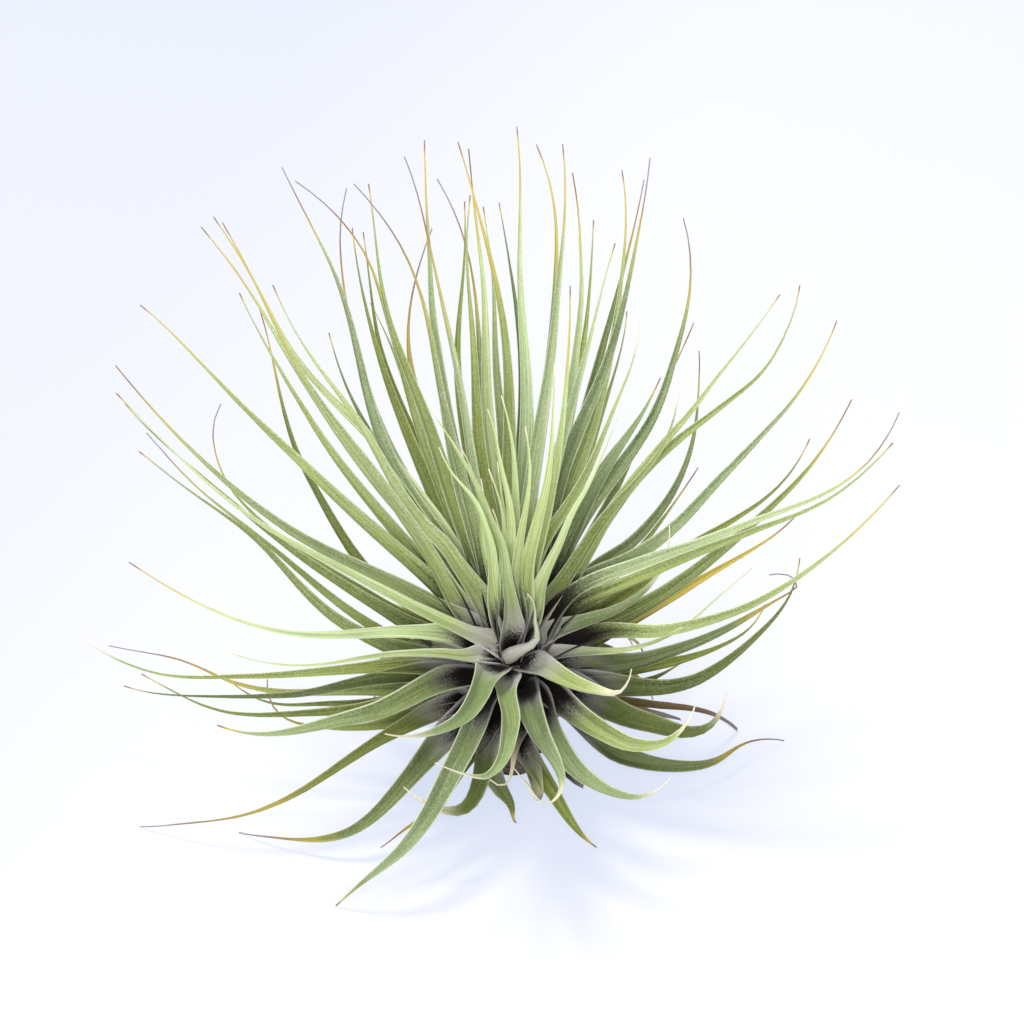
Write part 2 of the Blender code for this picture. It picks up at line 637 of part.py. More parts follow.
def main():
    for leftover in list(bpy.data.objects):
        bpy.data.objects.remove(leftover)
    plant = bpy.data.collections.new("air plant")
    cutters = bpy.data.collections.new("cutters")
    for group in (plant, cutters):
        bpy.context.scene.collection.children.link(group)
    cutters.hide_render = True

    old = material("old leaf", OLD_LEAF_GREEN, 0.6)
    grown = material("leaf", LEAF_GREEN, 0.55)
    young = material("young leaf", YOUNG_LEAF_GREEN, 0.5)
    dry = material("dry leaf", DRY_BROWN, 0.8)
    wood = material("stem", STEM_BROWN, 0.85)

    stem("stem", wood, plant)
    blades = listed_blades("dead", DEAD_SHEATHS, DEAD_LEAVES)
    for side, lean, length in DEAD_BACK_LEAVES:
        angles = math.radians(side), math.radians(lean)
        blades.append(
            hidden_blade(f"dead {side}", DEAD_SHEATHS, *angles, length * MM, DEAD_BACK_WIDTH, 0)
        )
    dead = leafy_ring("dead_leaves", DEAD_SHEATHS, blades, dry, plant)
    blades = listed_blades("outer", OUTER_SHEATHS, OUTER_LEAVES)
    blades += back_blades("back", OUTER_SHEATHS)
    outer = leafy_ring("outer_leaves", OUTER_SHEATHS, blades, old, plant)
    blades = listed_blades("middle", MIDDLE_SHEATHS, MIDDLE_LEAVES)
    middle = leafy_ring("middle_leaves", MIDDLE_SHEATHS, blades, grown, plant)
    for piece in (dead, outer, middle):
        open_stem_hole(piece, cutters)
    blades = listed_blades("heart", HEART_SHEATHS, HEART_LEAVES)
    heart = leafy_ring("heart_leaves", HEART_SHEATHS, blades, young, plant)
    for piece in (dead, outer, middle, heart):
        keep_largest_body(piece)


main()
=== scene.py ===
"""A millennium air plant on a pale table: its looks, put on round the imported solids."""

import math
import random

import bmesh
import bpy
from mathutils import Matrix, Quaternion, Vector, noise


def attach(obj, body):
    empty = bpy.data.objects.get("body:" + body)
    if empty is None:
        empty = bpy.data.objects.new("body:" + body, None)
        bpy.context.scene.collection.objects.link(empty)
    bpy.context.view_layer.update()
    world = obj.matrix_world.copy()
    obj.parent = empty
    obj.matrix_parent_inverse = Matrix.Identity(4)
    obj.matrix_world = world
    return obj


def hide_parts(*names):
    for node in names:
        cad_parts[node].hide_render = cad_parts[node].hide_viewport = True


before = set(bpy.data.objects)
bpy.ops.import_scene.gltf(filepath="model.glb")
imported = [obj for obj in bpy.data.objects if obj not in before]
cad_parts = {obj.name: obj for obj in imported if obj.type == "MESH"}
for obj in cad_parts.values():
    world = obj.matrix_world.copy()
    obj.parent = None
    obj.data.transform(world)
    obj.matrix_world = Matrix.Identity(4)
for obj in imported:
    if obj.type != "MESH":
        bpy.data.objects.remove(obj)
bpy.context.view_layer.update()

# The view. The camera looks down at the rosette from in front. It is also the eye that the leaves'
# centre lines are given for, as millimetres across and up from the crown, where they meet.
MM = 0.001
AXIS_LEAN = math.radians(20)
CROWN_HEIGHT = 38 * MM
AXIS = Vector((0, -math.sin(AXIS_LEAN), math.cos(AXIS_LEAN)))
CROWN = AXIS * (CROWN_HEIGHT / AXIS.z)
SIGHT_SLOPE = math.radians(30)
SIGHT_DISTANCE = 900 * MM
SIGHT_RAISED = 32.5 * MM
SIGHT_UP = Vector((0, math.sin(SIGHT_SLOPE), math.cos(SIGHT_SLOPE)))
SIGHT_BACK = Vector((0, -math.cos(SIGHT_SLOPE), math.sin(SIGHT_SLOPE)))
EYE = CROWN + SIGHT_UP * SIGHT_RAISED + SIGHT_BACK * SIGHT_DISTANCE
SENSOR_WIDTH = 36
PHOTO_WIDTH = 1024
PHOTO_PIXELS_PER_MM = 4.4
NEAREST_SEEN = 50 * MM

camera_data = bpy.data.cameras.new("eye")
camera_data.sensor_width = SENSOR_WIDTH
camera_data.lens = SENSOR_WIDTH * PHOTO_PIXELS_PER_MM * SIGHT_DISTANCE / MM / PHOTO_WIDTH
camera_data.clip_start = NEAREST_SEEN
camera = bpy.data.objects.new("eye", camera_data)
camera.location = EYE
camera.rotation_euler = (math.pi / 2 - SIGHT_SLOPE, 0, 0)
bpy.context.scene.collection.objects.link(camera)
bpy.context.scene.camera = camera


# The table and the light. A plain pale surface, a bright room all round it, and one broad soft
# lamp above, behind and to the left, which lays a faint shadow to the front right. A weaker one
# low in front lifts the shade under the leaves.
TABLE_SIZE = 16
TABLE_WHITE = (0.34, 0.285, 0.20, 1)
# Painted shade: toward the far left the table turns darker and bluer.
TABLE_SHADED_BLUE = (0.25, 0.21, 0.17, 1)
# The table's glow is painted light: it lifts the shadows on the table and tints them blue.
TABLE_GLOW = (0.67, 0.765, 1.0, 1)
TABLE_GLOW_STRENGTH = 0.82
TABLE_SLANT = 0.25
TABLE_SHADE_END = -190 * MM
TABLE_WHITE_START = -20 * MM
TABLE_ROUGHNESS = 0.7
TABLE_SHINE = 0.2
ROOM_LIGHT = (0.95, 0.97, 1.0, 1)
ROOM_STRENGTH = 0.45
LAMP_PLACE = Vector((-0.32, 0.18, 1.31))
LAMP_SIZE = 0.40
LAMP_WATTS = 14
FILL_PLACE = Vector((-0.10, -1.10, 0.62))
FILL_SIZE = 0.6
FILL_WATTS = 10


def put(tree, kind, inputs=None, **settings):
    """Adds a node, with its settings and then its inputs, each a value or another's output."""
    made = tree.nodes.new(kind)
    for name, value in settings.items():
        setattr(made, name, value)
    for name, value in (inputs or {}).items():
        if isinstance(value, bpy.types.NodeSocket):
            tree.links.new(value, made.inputs[name])
        else:
            made.inputs[name].default_value = value
    return made


def calc(tree, operation, *values):
    return put(tree, "ShaderNodeMath", dict(enumerate(values)), operation=operation).outputs[0]


def times(tree, first, second):
    return calc(tree, "MULTIPLY", first, second)


def times_plus(tree, value, factor, start):
    """The value times the factor, counted from the start."""
    return calc(tree, "MULTIPLY_ADD", value, factor, start)


def blend(tree, amount, first, second):
    """The first colour where the amount is 0 and the second where it is 1."""
    inputs = {0: amount, 6: first, 7: second}
    return put(tree, "ShaderNodeMix", inputs, data_type="RGBA").outputs[2]


def fade(tree, value, start, end, low=0):
    """Goes smoothly from low, where the value is at the start, to 1, where it is at the end."""
    inputs = {"Value": value, "From Min": start, "From Max": end, "To Min": low}
    made = put(tree, "ShaderNodeMapRange", inputs, interpolation_type="SMOOTHSTEP")
    return made.outputs["Result"]


def grain(tree, place, scale, detail=2.0):
    inputs = {"Vector": place, "Scale": scale, "Detail": detail}
    return put(tree, "ShaderNodeTexNoise", inputs).outputs[0]


def table_finish():
    """Dull white with a painted glow that lifts its shadows, and painted shade, darker and bluer,
    toward the far left.
    """
    made = bpy.data.materials.new("table")
    made.use_nodes = True
    tree = made.node_tree
    place = put(tree, "ShaderNodeTexCoord").outputs["Object"]
    apart = put(tree, "ShaderNodeSeparateXYZ", {0: place}).outputs
    # Painted shade, darker and bluer, toward the far left of the table.
    toward_right = calc(tree, "SUBTRACT", apart[0], times(tree, apart[1], TABLE_SLANT))
    whiter = fade(tree, toward_right, TABLE_SHADE_END, TABLE_WHITE_START)
    color = blend(tree, whiter, TABLE_SHADED_BLUE, TABLE_WHITE)
    shader = tree.nodes["Principled BSDF"]
    tree.links.new(color, shader.inputs["Base Color"])
    shader.inputs["Roughness"].default_value = TABLE_ROUGHNESS
    shader.inputs["Specular IOR Level"].default_value = TABLE_SHINE
    shader.inputs["Emission Color"].default_value = TABLE_GLOW
    shader.inputs["Emission Strength"].default_value = TABLE_GLOW_STRENGTH
    return made


def soft_lamp(name, place, size, watts):
    data = bpy.data.lights.new(name, "AREA")
    data.shape = "DISK"
    data.size = size
    data.energy = watts
    lamp = bpy.data.objects.new(name, data)
    lamp.location = CROWN + place
    lamp.rotation_euler = (-place).to_track_quat("-Z", "Y").to_euler()
    bpy.context.scene.collection.objects.link(lamp)


table_shape = bmesh.new()
bmesh.ops.create_grid(table_shape, x_segments=2, y_segments=2, size=TABLE_SIZE / 2)
table_mesh = bpy.data.meshes.new("table")
table_shape.to_mesh(table_mesh)
table_shape.free()
table = bpy.data.objects.new("table", table_mesh)
table.data.materials.append(table_finish())
bpy.context.scene.collection.objects.link(table)
soft_lamp("lamp", LAMP_PLACE, LAMP_SIZE, LAMP_WATTS)
soft_lamp("fill", FILL_PLACE, FILL_SIZE, FILL_WATTS)
room = bpy.data.worlds.new("room")
room.use_nodes = True
room.node_tree.nodes["Background"].inputs["Color"].default_value = ROOM_LIGHT
room.node_tree.nodes["Background"].inputs["Strength"].default_value = ROOM_STRENGTH
bpy.context.scene.world = room
bpy.context.scene.view_settings.view_transform = "Standard"


# The stem. A short woody stem in dark rough bark, ringed by the scars of leaves that have fallen,
# trimmed flat where the plant was cut from its parent, with the stubs of wiry roots at its foot.
STEM_TURNS = 40
STEM_STEPS = 56
STEM_RADIUS = 3 * MM
STEM_FOOT_RADIUS = 6 * MM
STEM_TOP = -4.4 * MM
STEM_BOTTOM = -46 * MM
STEM_SWELLS = (-28 * MM, -30.5 * MM)
SCAR_SPACING = 1.1 * MM
SCAR_DEPTH = 0.22 * MM
BARK_ROUGHNESS = 0.35 * MM
BARK_GRAIN = 420
ROOT_STUBS = ((20, 6), (95, 8), (165, 6), (240, 5), (310, 6))
ROOT_STUB_RADIUS = 0.7 * MM
ROOT_STUB_HEIGHT = 1.2 * MM
ROOT_STUB_RINGS = 12
ROOT_STUB_SIDES = 8
ROOT_STUB_TAPER = 0.45
ROOT_STUB_BEND = 0.8 * MM
ROOT_STUB_WAVES = 3
ROOT_STUBS_APART = 7
BARK_DARK = (0.020, 0.012, 0.008, 1)
BARK_BROWN = (0.105, 0.062, 0.036, 1)
BARK_GREY = (0.23, 0.19, 0.16, 1)
FURROW_SCALE = 380
FURROW_DETAIL = 5
FURROW_FADE = (0.38, 0.60)
FURROW_DEPTH = 0.3 * MM
DUST_SCALE = 1900
DUST_DETAIL = 3
DUST_FADE = (0.52, 0.72)
BARK_BUMP = 0.6
BARK_DULLNESS = 0.85


def stem_surface(turn, height):
    """A point of the bark, this far round and this high on the axis, scars and grain included."""
    angle = math.tau * turn
    swelling = (STEM_SWELLS[0] - height) / (STEM_SWELLS[0] - STEM_SWELLS[1])
    radius = STEM_RADIUS + (STEM_FOOT_RADIUS - STEM_RADIUS) * min(max(swelling, 0), 1)
    spiral = math.sin(math.tau * (height / SCAR_SPACING + turn))
    place = Vector((math.cos(angle) * radius, math.sin(angle) * radius, height))
    bark = noise.noise(place * BARK_GRAIN) * BARK_ROUGHNESS
    radius += bark - SCAR_DEPTH * (1 + spiral) / 2 - BARK_ROUGHNESS / 2
    return Vector((math.cos(angle) * radius, math.sin(angle) * radius, height))


def skin(shape, rings):
    """Faces between rings of points, with both ends closed."""
    rows = [[shape.verts.new(place) for place in ring] for ring in rings]
    for low, high in zip(rows, rows[1:]):
        for i in range(len(low)):
            j = (i + 1) % len(low)
            shape.faces.new((low[i], low[j], high[j], high[i]))
    shape.faces.new(rows[0][::-1])
    shape.faces.new(rows[-1])


def root_stub(shape, side, length):
    """A tapered wiry root, cut short, which leaves the foot of the stem on this side."""
    outward = Vector((math.cos(math.radians(side)), math.sin(math.radians(side)), 0))
    sideways = Vector((-outward.y, outward.x, 0))
    rings = []
    for step in range(ROOT_STUB_RINGS):
        share = step / (ROOT_STUB_RINGS - 1)
        reach = STEM_FOOT_RADIUS / 2 + (STEM_FOOT_RADIUS / 2 + length * MM) * share
        radius = ROOT_STUB_RADIUS * (1 - ROOT_STUB_TAPER * share)
        spot = outward * ROOT_STUBS_APART + Vector((0, 0, share * ROOT_STUB_WAVES))
        bend = noise.noise(spot) * ROOT_STUB_BEND * share
        centre = outward * reach + sideways * bend + Vector((0, 0, ROOT_STUB_HEIGHT))
        ring = []
        for i in range(ROOT_STUB_SIDES):
            angle = math.tau * i / ROOT_STUB_SIDES
            around = sideways * math.cos(angle) + Vector((0, 0, math.sin(angle)))
            ring.append(centre + around * radius)
        rings.append(ring)
    skin(shape, rings)


def stem_mesh():
    """The trunk, leant with the plant's axis and cut at the table, and the root stubs."""
    shape = bmesh.new()
    lean = Matrix.Translation(CROWN) @ Matrix.Rotation(AXIS_LEAN, 4, "X")
    rings = []
    for step in range(STEM_STEPS + 1):
        height = STEM_BOTTOM + (STEM_TOP - STEM_BOTTOM) * step / STEM_STEPS
        rings.append([lean @ stem_surface(i / STEM_TURNS, height) for i in range(STEM_TURNS)])
    skin(shape, rings)
    bmesh.ops.bisect_plane(
        shape,
        geom=shape.verts[:] + shape.edges[:] + shape.faces[:],
        plane_co=(0, 0, 0),
        plane_no=(0, 0, -1),
        clear_outer=True,
    )
    bmesh.ops.holes_fill(shape, edges=[edge for edge in shape.edges if edge.is_boundary])
    for side, length in ROOT_STUBS:
        root_stub(shape, side, length)
    for vert in shape.verts:
        vert.co.z = max(vert.co.z, 0)
    bmesh.ops.recalc_face_normals(shape, faces=shape.faces)
    for face in shape.faces:
        face.smooth = True
    mesh = bpy.data.meshes.new("stem bark")
    shape.to_mesh(mesh)
    shape.free()
    return mesh


def bark_finish():
    """Dark furrows under worn brown, flecked with grey dust."""
    made = bpy.data.materials.new("bark")
    made.use_nodes = True
    tree = made.node_tree
    place = put(tree, "ShaderNodeTexCoord").outputs["Object"]
    furrows = grain(tree, place, FURROW_SCALE, FURROW_DETAIL)
    dust = grain(tree, place, DUST_SCALE, DUST_DETAIL)
    color = blend(tree, fade(tree, furrows, *FURROW_FADE), BARK_DARK, BARK_BROWN)
    color = blend(tree, fade(tree, dust, *DUST_FADE), color, BARK_GREY)
    inputs = {"Strength": BARK_BUMP, "Distance": FURROW_DEPTH, "Height": furrows}
    bump = put(tree, "ShaderNodeBump", inputs)
    shader = tree.nodes["Principled BSDF"]
    tree.links.new(color, shader.inputs["Base Color"])
    tree.links.new(bump.outputs[0], shader.inputs["Normal"])
    shader.inputs["Roughness"].default_value = BARK_DULLNESS
    return made


stem = bpy.data.objects.new("stem_bark", stem_mesh())
stem.data.materials.append(bark_finish())
bpy.context.scene.collection.objects.link(stem)
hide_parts("stem")
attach(stem, "root")


# The dead leaves. Brown straws and shrivelled ends, the oldest leaves of all, which hang on to the
# stem under the rosette by their dry sheaths. Each leaf of the plant is one channelled blade, swept
# along its own centre line.

# How a blade ends: the share of its width that it loses, and how late along it that happens.
FINE = (1, 2)
SLIM = (1, 1.3)
FULL = (1, 3.5)
CUT = (0.5, 3)

# How a tip has dried: the lengths that are golden, brown, grey and cream, in millimetres.
STRAW = (0, 0, 12, 0)

# One row a leaf: its line from the tip inward as the eye sees it, how far the tip leans from the
# axis in degrees, or that it touches the table, its width in millimetres, its end and its tip.
FLOOR = "floor"
DEAD_LEAVES = (
    (((38.5, -15), (21, -12.5)), 112, 2.4, CUT, STRAW),
    (((51, -17.2), (38, -12)), FLOOR, 2.2, CUT, STRAW),
    (((16, -30), (10, -24)), 112, 3.0, CUT, STRAW),
    (((-29, -3), (-16, -12)), 116, 2.6, CUT, STRAW),
)

# The ones behind: the side of the stem, the lean and the length. Torn sheaths cling all round.
DEAD_BACK_LEAVES = ((58, 108, 40), (118, 112, 34), (152, 106, 44))
DEAD_BACK_WIDTH = 4
SHEATH_SCRAPS = 34
SCRAP_LENGTHS = (7, 13)
SCRAP_LEANS = (28, 70)
SCRAP_WIDTH = 5.5
SCRAP_LOWEST = -0.4
SCRAP_CLIMB = 1.6
GOLDEN_ANGLE = math.radians(137.508)
DEAD_SEED = 11

# How a leaf's line finds its depth, bends and wanders.
DEPTH_SEARCHED = 140 * MM
DEPTH_STEP = 2 * MM
LEAN_MARGIN = math.radians(9)
BOW = 0.07
DROP_BOW = 9 * MM
EASE = 0.45
ROOT_LEANS = (20, 90)
ROOT_LOWEST = 0.1
ROOT_CLIMB = 0.7
ROOT_LEAN_SHARE = 0.6
FLOOR_TOUCH = 0.2 * MM
FLOOR_CLEAR = 1 * MM
CURVE_STEPS = 12
LINE_STATIONS = 26
ARCH_SHARES = (0.35, 0.7, 1)
ARCH_LATENESS = 1.3
WANDER = 0.6 * MM
WANDER_WAVES = (1.2, 2.4)
TWIST = math.radians(24)

# A blade springs from a narrow neck and is widest where its sheath shows. Below, in the crown's
# hollows, it is painted dark as shade, for a length in millimetres, and tone says how light the
# leaf is, from 0 to 1.
SHADE_LEANS = (22, 62)
SHADE_LENGTHS = (5, 18)
LONGEST_SHADE = 18
SHADE_PER_NECK = 1.15
NECK_IN_SIGHT = 18.5 * MM
NECK_HIDDEN = 14 * MM
NECK_LEAN = 60
FAN_LOWEST = 38
FAN_SHADE = 28
UPRIGHT_TONES = (0.1, 1)
# Leaves drooping below the crown take darker tones: partly old-leaf colour, partly painted shade.
DROOPING_SHADED_TONES = (0, 0.35)
CORE_SIDES = 36


class Ring:
    """A stretch of the stem where leaf sheaths sit round it, and how its leaves leave it.

    Heights are millimetres along the axis from the crown, and the lean is in degrees from it.
    """

    def __init__(self, bottom, top, foot_radius, rim_radius, root_radius, root_lean):
        self.bottom, self.top = bottom * MM, top * MM
        self.foot_radius = foot_radius * MM
        self.rim_radius = rim_radius * MM
        self.root_radius = root_radius * MM
        self.root_lean = math.radians(root_lean)
        self.middle = CROWN + AXIS * ((self.bottom + self.top) / 2)

    def root(self, outward, share):
        """A leaf's root on this side, this share of the way up the stretch."""
        height = self.bottom + (self.top - self.bottom) * (ROOT_LOWEST + ROOT_CLIMB * share)
        return CROWN + AXIS * height + outward * self.root_radius


DEAD_SHEATHS = Ring(
    bottom=-27,
    top=-18.6,
    foot_radius=6.2,
    rim_radius=7.2,
    root_radius=5.6,
    root_lean=80,
)


def sight_point(across, up, toward):
    """The point seen at (across, up), in millimetres, that lies this far toward the eye."""
    seen = CROWN + Vector((across * MM, 0, 0)) + SIGHT_UP * (up * MM)
    return seen.lerp(EYE, toward / SIGHT_DISTANCE)


def floor_depth(across, up, height):
    """How far toward the eye the sight line is this high above the table."""
    seen = sight_point(across, up, 0)
    return SIGHT_DISTANCE * (height - seen.z) / (EYE.z - seen.z)


def depth_at_lean(across, up, lean, centre):
    """Comes along the sight line from behind, and stops where the point leans this little.

    Where the line never leans so little, it stops a margin short of the least that it does.
    """
    count = round(2 * DEPTH_SEARCHED / DEPTH_STEP)
    depths = [DEPTH_STEP * i - DEPTH_SEARCHED for i in range(count + 1)]
    leans = [AXIS.angle(sight_point(across, up, depth) - centre) for depth in depths]
    wanted = max(lean, min(leans) + LEAN_MARGIN)
    for i, found in enumerate(leans):
        if found <= wanted:
            break
    if i == 0:
        return depths[0]
    over = (leans[i - 1] - wanted) / (leans[i - 1] - found)
    return depths[i - 1] + DEPTH_STEP * over


def outward_of(point, centre):
    """The direction square to the axis in which this point lies."""
    offset = point - centre
    return (offset - AXIS * offset.dot(AXIS)).normalized()


def leaf_points(ring, seen, tip_lean, share):
    """A leaf's centre line from root to tip, and the direction in which it leaves the stem."""
    tip = seen[0]
    bow = 0
    root_lean = ring.root_lean
    if tip_lean == FLOOR:
        tip_depth = floor_depth(*tip, FLOOR_TOUCH)
        bow = DROP_BOW
    else:
        lean = math.radians(tip_lean)
        root_lean = max(root_lean, lean * ROOT_LEAN_SHARE)
        tip_depth = depth_at_lean(*tip, lean, ring.middle)
        tip_depth = max(tip_depth, floor_depth(*tip, FLOOR_TOUCH))
    tip_point = sight_point(*tip, tip_depth)
    outward = outward_of(tip_point, ring.middle)
    root = ring.root(outward, share)
    foot = ((root - CROWN).x / MM, (root - CROWN).dot(SIGHT_UP) / MM)
    root_depth = (root - CROWN).dot(SIGHT_BACK)
    stations = (foot,) + tuple(reversed(seen))
    steps = [math.dist(a, b) for a, b in zip(stations, stations[1:])]
    bow += BOW * sum(steps) * MM
    points = [root]
    gone = 0
    for step, (across, up) in zip(steps[:-1], stations[1:-1]):
        gone += step / sum(steps)
        depth = root_depth + (tip_depth - root_depth) * (gone + EASE * gone * (1 - gone))
        depth += bow * 4 * gone * (1 - gone)
        depth = max(depth, floor_depth(across, up, FLOOR_CLEAR))
        points.append(sight_point(across, up, depth))
    points.append(tip_point)
    return points, AXIS * math.cos(root_lean) + outward * math.sin(root_lean)


def hidden_points(ring, side, lean, length, share):
    """The centre line of a plain arching leaf on any side of the plant, and how it starts."""
    outward = Vector((math.cos(side), 0, 0)) + math.sin(side) * AXIS.cross(Vector((1, 0, 0)))
    points = [ring.root(outward, share)]
    for part in ARCH_SHARES:
        here = ring.root_lean + (lean - ring.root_lean) * part**ARCH_LATENESS
        point = ring.middle + (AXIS * math.cos(here) + outward * math.sin(here)) * length * part
        point.z = max(point.z, FLOOR_TOUCH)
        points.append(point)
    return points, AXIS * math.cos(ring.root_lean) + outward * math.sin(ring.root_lean)


def hermite(start, end, leaving, arriving, t):
    """A point between two ends of a curve that leaves and arrives in given directions."""
    return (
        start * (2 * t**3 - 3 * t**2 + 1)
        + leaving * (t**3 - 2 * t**2 + t)
        + end * (3 * t**2 - 2 * t**3)
        + arriving * (t**3 - t**2)
    )


def smooth_line(points, start):
    """Points evenly along a smooth curve through these, which leaves in the given direction."""
    slopes = [start.normalized()]
    for before, here, after in zip(points, points[1:], points[2:]):
        slopes.append(((here - before).normalized() + (after - here).normalized()).normalized())
    slopes.append((2 * (points[-1] - points[-2]).normalized() - slopes[-1]).normalized())
    fine = []
    for i in range(len(points) - 1):
        chord = (points[i + 1] - points[i]).length
        leaving, arriving = slopes[i] * chord, slopes[i + 1] * chord
        for j in range(CURVE_STEPS):
            fine.append(hermite(points[i], points[i + 1], leaving, arriving, j / CURVE_STEPS))
    fine.append(points[-1])
    lengths = [0]
    for a, b in zip(fine, fine[1:]):
        lengths.append(lengths[-1] + (b - a).length)
    line = []
    reached = 0
    for i in range(LINE_STATIONS + 1):
        wanted = lengths[-1] * i / LINE_STATIONS
        while reached < len(fine) - 2 and lengths[reached + 1] < wanted:
            reached += 1
        within = (wanted - lengths[reached]) / (lengths[reached + 1] - lengths[reached])
        line.append(fine[reached].lerp(fine[reached + 1], min(within, 1)))
    return line


def leaf_line(points, start, draw):
    """A leaf's line with a little wander and twist of its own: points, and their upper sides."""
    line = smooth_line(points, start)
    upper = AXIS - outward_of(points[0], CROWN)
    twist = draw.uniform(-TWIST, TWIST)
    phase = draw.uniform(0, math.tau)
    waves = draw.uniform(*WANDER_WAVES)
    places, uppers = [], []
    for i, centre in enumerate(line):
        share = i / LINE_STATIONS
        along = (line[min(i + 1, LINE_STATIONS)] - line[max(i - 1, 0)]).normalized()
        upper = (upper - along * upper.dot(along)).normalized()
        sideways = along.cross(upper)
        swing = WANDER * share * math.sin(phase + math.tau * waves * share)
        place = centre + sideways * swing + upper * (swing / 2)
        place.z = max(place.z, FLOOR_TOUCH)
        places.append(place)
        uppers.append(Quaternion(along, twist * share * share) @ upper)
    return places, uppers


def line_mesh(name, leaves):
    """One mesh of open lines, whose points carry their leaf's width, end, tone, painted shade, neck
    and tip.
    """
    mesh = bpy.data.meshes.new(name)
    places, edges, uppers = [], [], []
    keys = ("width", "lost", "power", "tone", "painted_shade_length", "neck", "gold", "brown", "grey", "cream")
    values = {key: [] for key in keys}
    for (line, sides), facts in leaves:
        first = len(places)
        places += line
        uppers += sides
        edges += [(first + i, first + i + 1) for i in range(len(line) - 1)]
        for key, value in zip(values, facts):
            values[key] += [value] * len(line)
    mesh.from_pydata(places, edges, [])
    for key, numbers in values.items():
        mesh.attributes.new(key, "FLOAT", "POINT").data.foreach_set("value", numbers)
    upper = mesh.attributes.new("upper", "FLOAT_VECTOR", "POINT")
    upper.data.foreach_set("vector", [part for side in uppers for part in side])
    return mesh


def painted_shade_of(lean):
    """How many millimetres of a leaf's base are painted dark as shade: more on older leaves, which
    lean further.
    """
    if lean == FLOOR:
        return LONGEST_SHADE
    share = (lean - SHADE_LEANS[0]) / (SHADE_LEANS[1] - SHADE_LEANS[0])
    return SHADE_LENGTHS[0] + (SHADE_LENGTHS[1] - SHADE_LENGTHS[0]) * min(max(share, 0), 1)


def listed_leaves(ring, leaves, draw, tones=UPRIGHT_TONES, shade_share=1):
    """The line and the facts of each leaf in a list. The more upright, the higher its root.

    A leaf that is seen down to its neck gets painted shade only below the neck. The fan's leaves,
    whose bases the others hide, are painted in shade for longer.
    """
    made = []
    for seen, tip_lean, width, end, tip in leaves:
        lean = ROOT_LEANS[1] if tip_lean == FLOOR else tip_lean
        climb = (ROOT_LEANS[1] - lean) / (ROOT_LEANS[1] - ROOT_LEANS[0])
        points, start = leaf_points(ring, seen, tip_lean, min(max(climb, 0), 1))
        # Drooping leaves are darker: partly old-leaf colour, partly painted shade.
        tone = draw.uniform(*(DROOPING_SHADED_TONES if seen[0][1] < 0 else tones))
        neck = (points[1] - points[0]).length
        in_sight = neck < NECK_IN_SIGHT
        # How much of the base is painted in shade: below the neck where seen, longer where hidden.
        painted_shade_length = painted_shade_of(tip_lean) * shade_share
        if seen[0][1] > FAN_LOWEST and not in_sight:
            painted_shade_length = FAN_SHADE * shade_share
        elif in_sight and tip_lean != FLOOR and tip_lean < NECK_LEAN:
            painted_shade_length = neck / MM * SHADE_PER_NECK
        if not in_sight:
            neck = NECK_HIDDEN
        facts = (width * MM, *end, tone, painted_shade_length, neck, *tip)
        made.append((leaf_line(points, start, draw), facts))
    return made


def named_field(tree, name, kind="FLOAT"):
    return put(tree, "GeometryNodeInputNamedAttribute", {"Name": name}, data_type=kind).outputs[0]


def vector_calc(tree, operation, first, second=None, amount=None):
    inputs = {0: first}
    if second is not None:
        inputs[1] = second
    if amount is not None:
        inputs["Scale"] = amount
    made = put(tree, "ShaderNodeVectorMath", inputs, operation=operation)
    return made.outputs["Value" if operation == "DOT_PRODUCT" else "Vector"]


def mixed(tree, amount, first, second):
    """The first number where the amount is 0 and the second where it is 1."""
    return put(tree, "ShaderNodeMix", {0: amount, 2: first, 3: second}).outputs[0]


# The blade's section has this many steps over the top and back underneath. The rest says how it
# curls up to its margins, narrows to its neck, and thins to a hair where its tip has dried.
PROFILE_TOP = 16
PROFILE_UNDER = 6
MARGIN_CURL = 1.7
RIDGED_HALF = 2.5 * MM
LEAST_NECK = 0.01 * MM
NECK_NARROWEST = 0.3
HAIR_STARTS = 1.4
HAIR_FULL = 0.6
HAIR_THINNER = 0.6
LOWEST_SKIN = 0.02 * MM
BLADE_SIZES = (
    ("Lines", "NodeSocketGeometry", None),
    ("Spacing", "NodeSocketFloat", 2.2 * MM),
    ("Root Thickness", "NodeSocketFloat", 0.9 * MM),
    ("Thickness", "NodeSocketFloat", 0.5 * MM),
    ("Tip Thickness", "NodeSocketFloat", 0.16 * MM),
    ("Tip Width", "NodeSocketFloat", 0.3 * MM),
    ("Root Channel", "NodeSocketFloat", 1.3),
    ("Channel", "NodeSocketFloat", 0.85),
    ("Tip Channel", "NodeSocketFloat", 1.0),
    ("Sheath Spread", "NodeSocketFloat", 2 * MM),
    ("Sheath Length", "NodeSocketFloat", 10 * MM),
    ("Least Hair", "NodeSocketFloat", 10 * MM),
    ("Root Pinch", "NodeSocketFloat", 1),
    ("Ridges", "NodeSocketFloat", 3),
    ("Ridge Height", "NodeSocketFloat", 0.14 * MM),
    ("Edge Wave", "NodeSocketFloat", 0.2 * MM),
    ("Wave Scale", "NodeSocketFloat", 160),
    ("Finish", "NodeSocketMaterial", None),
)


def blade_sizes(tree):
    """The sizes that each ring of leaves may set, as the tree's inputs."""
    for name, kind, value in BLADE_SIZES:
        socket = tree.interface.new_socket(name, in_out="INPUT", socket_type=kind)
        if value is not None:
            socket.default_value = value
    return put(tree, "NodeGroupInput").outputs


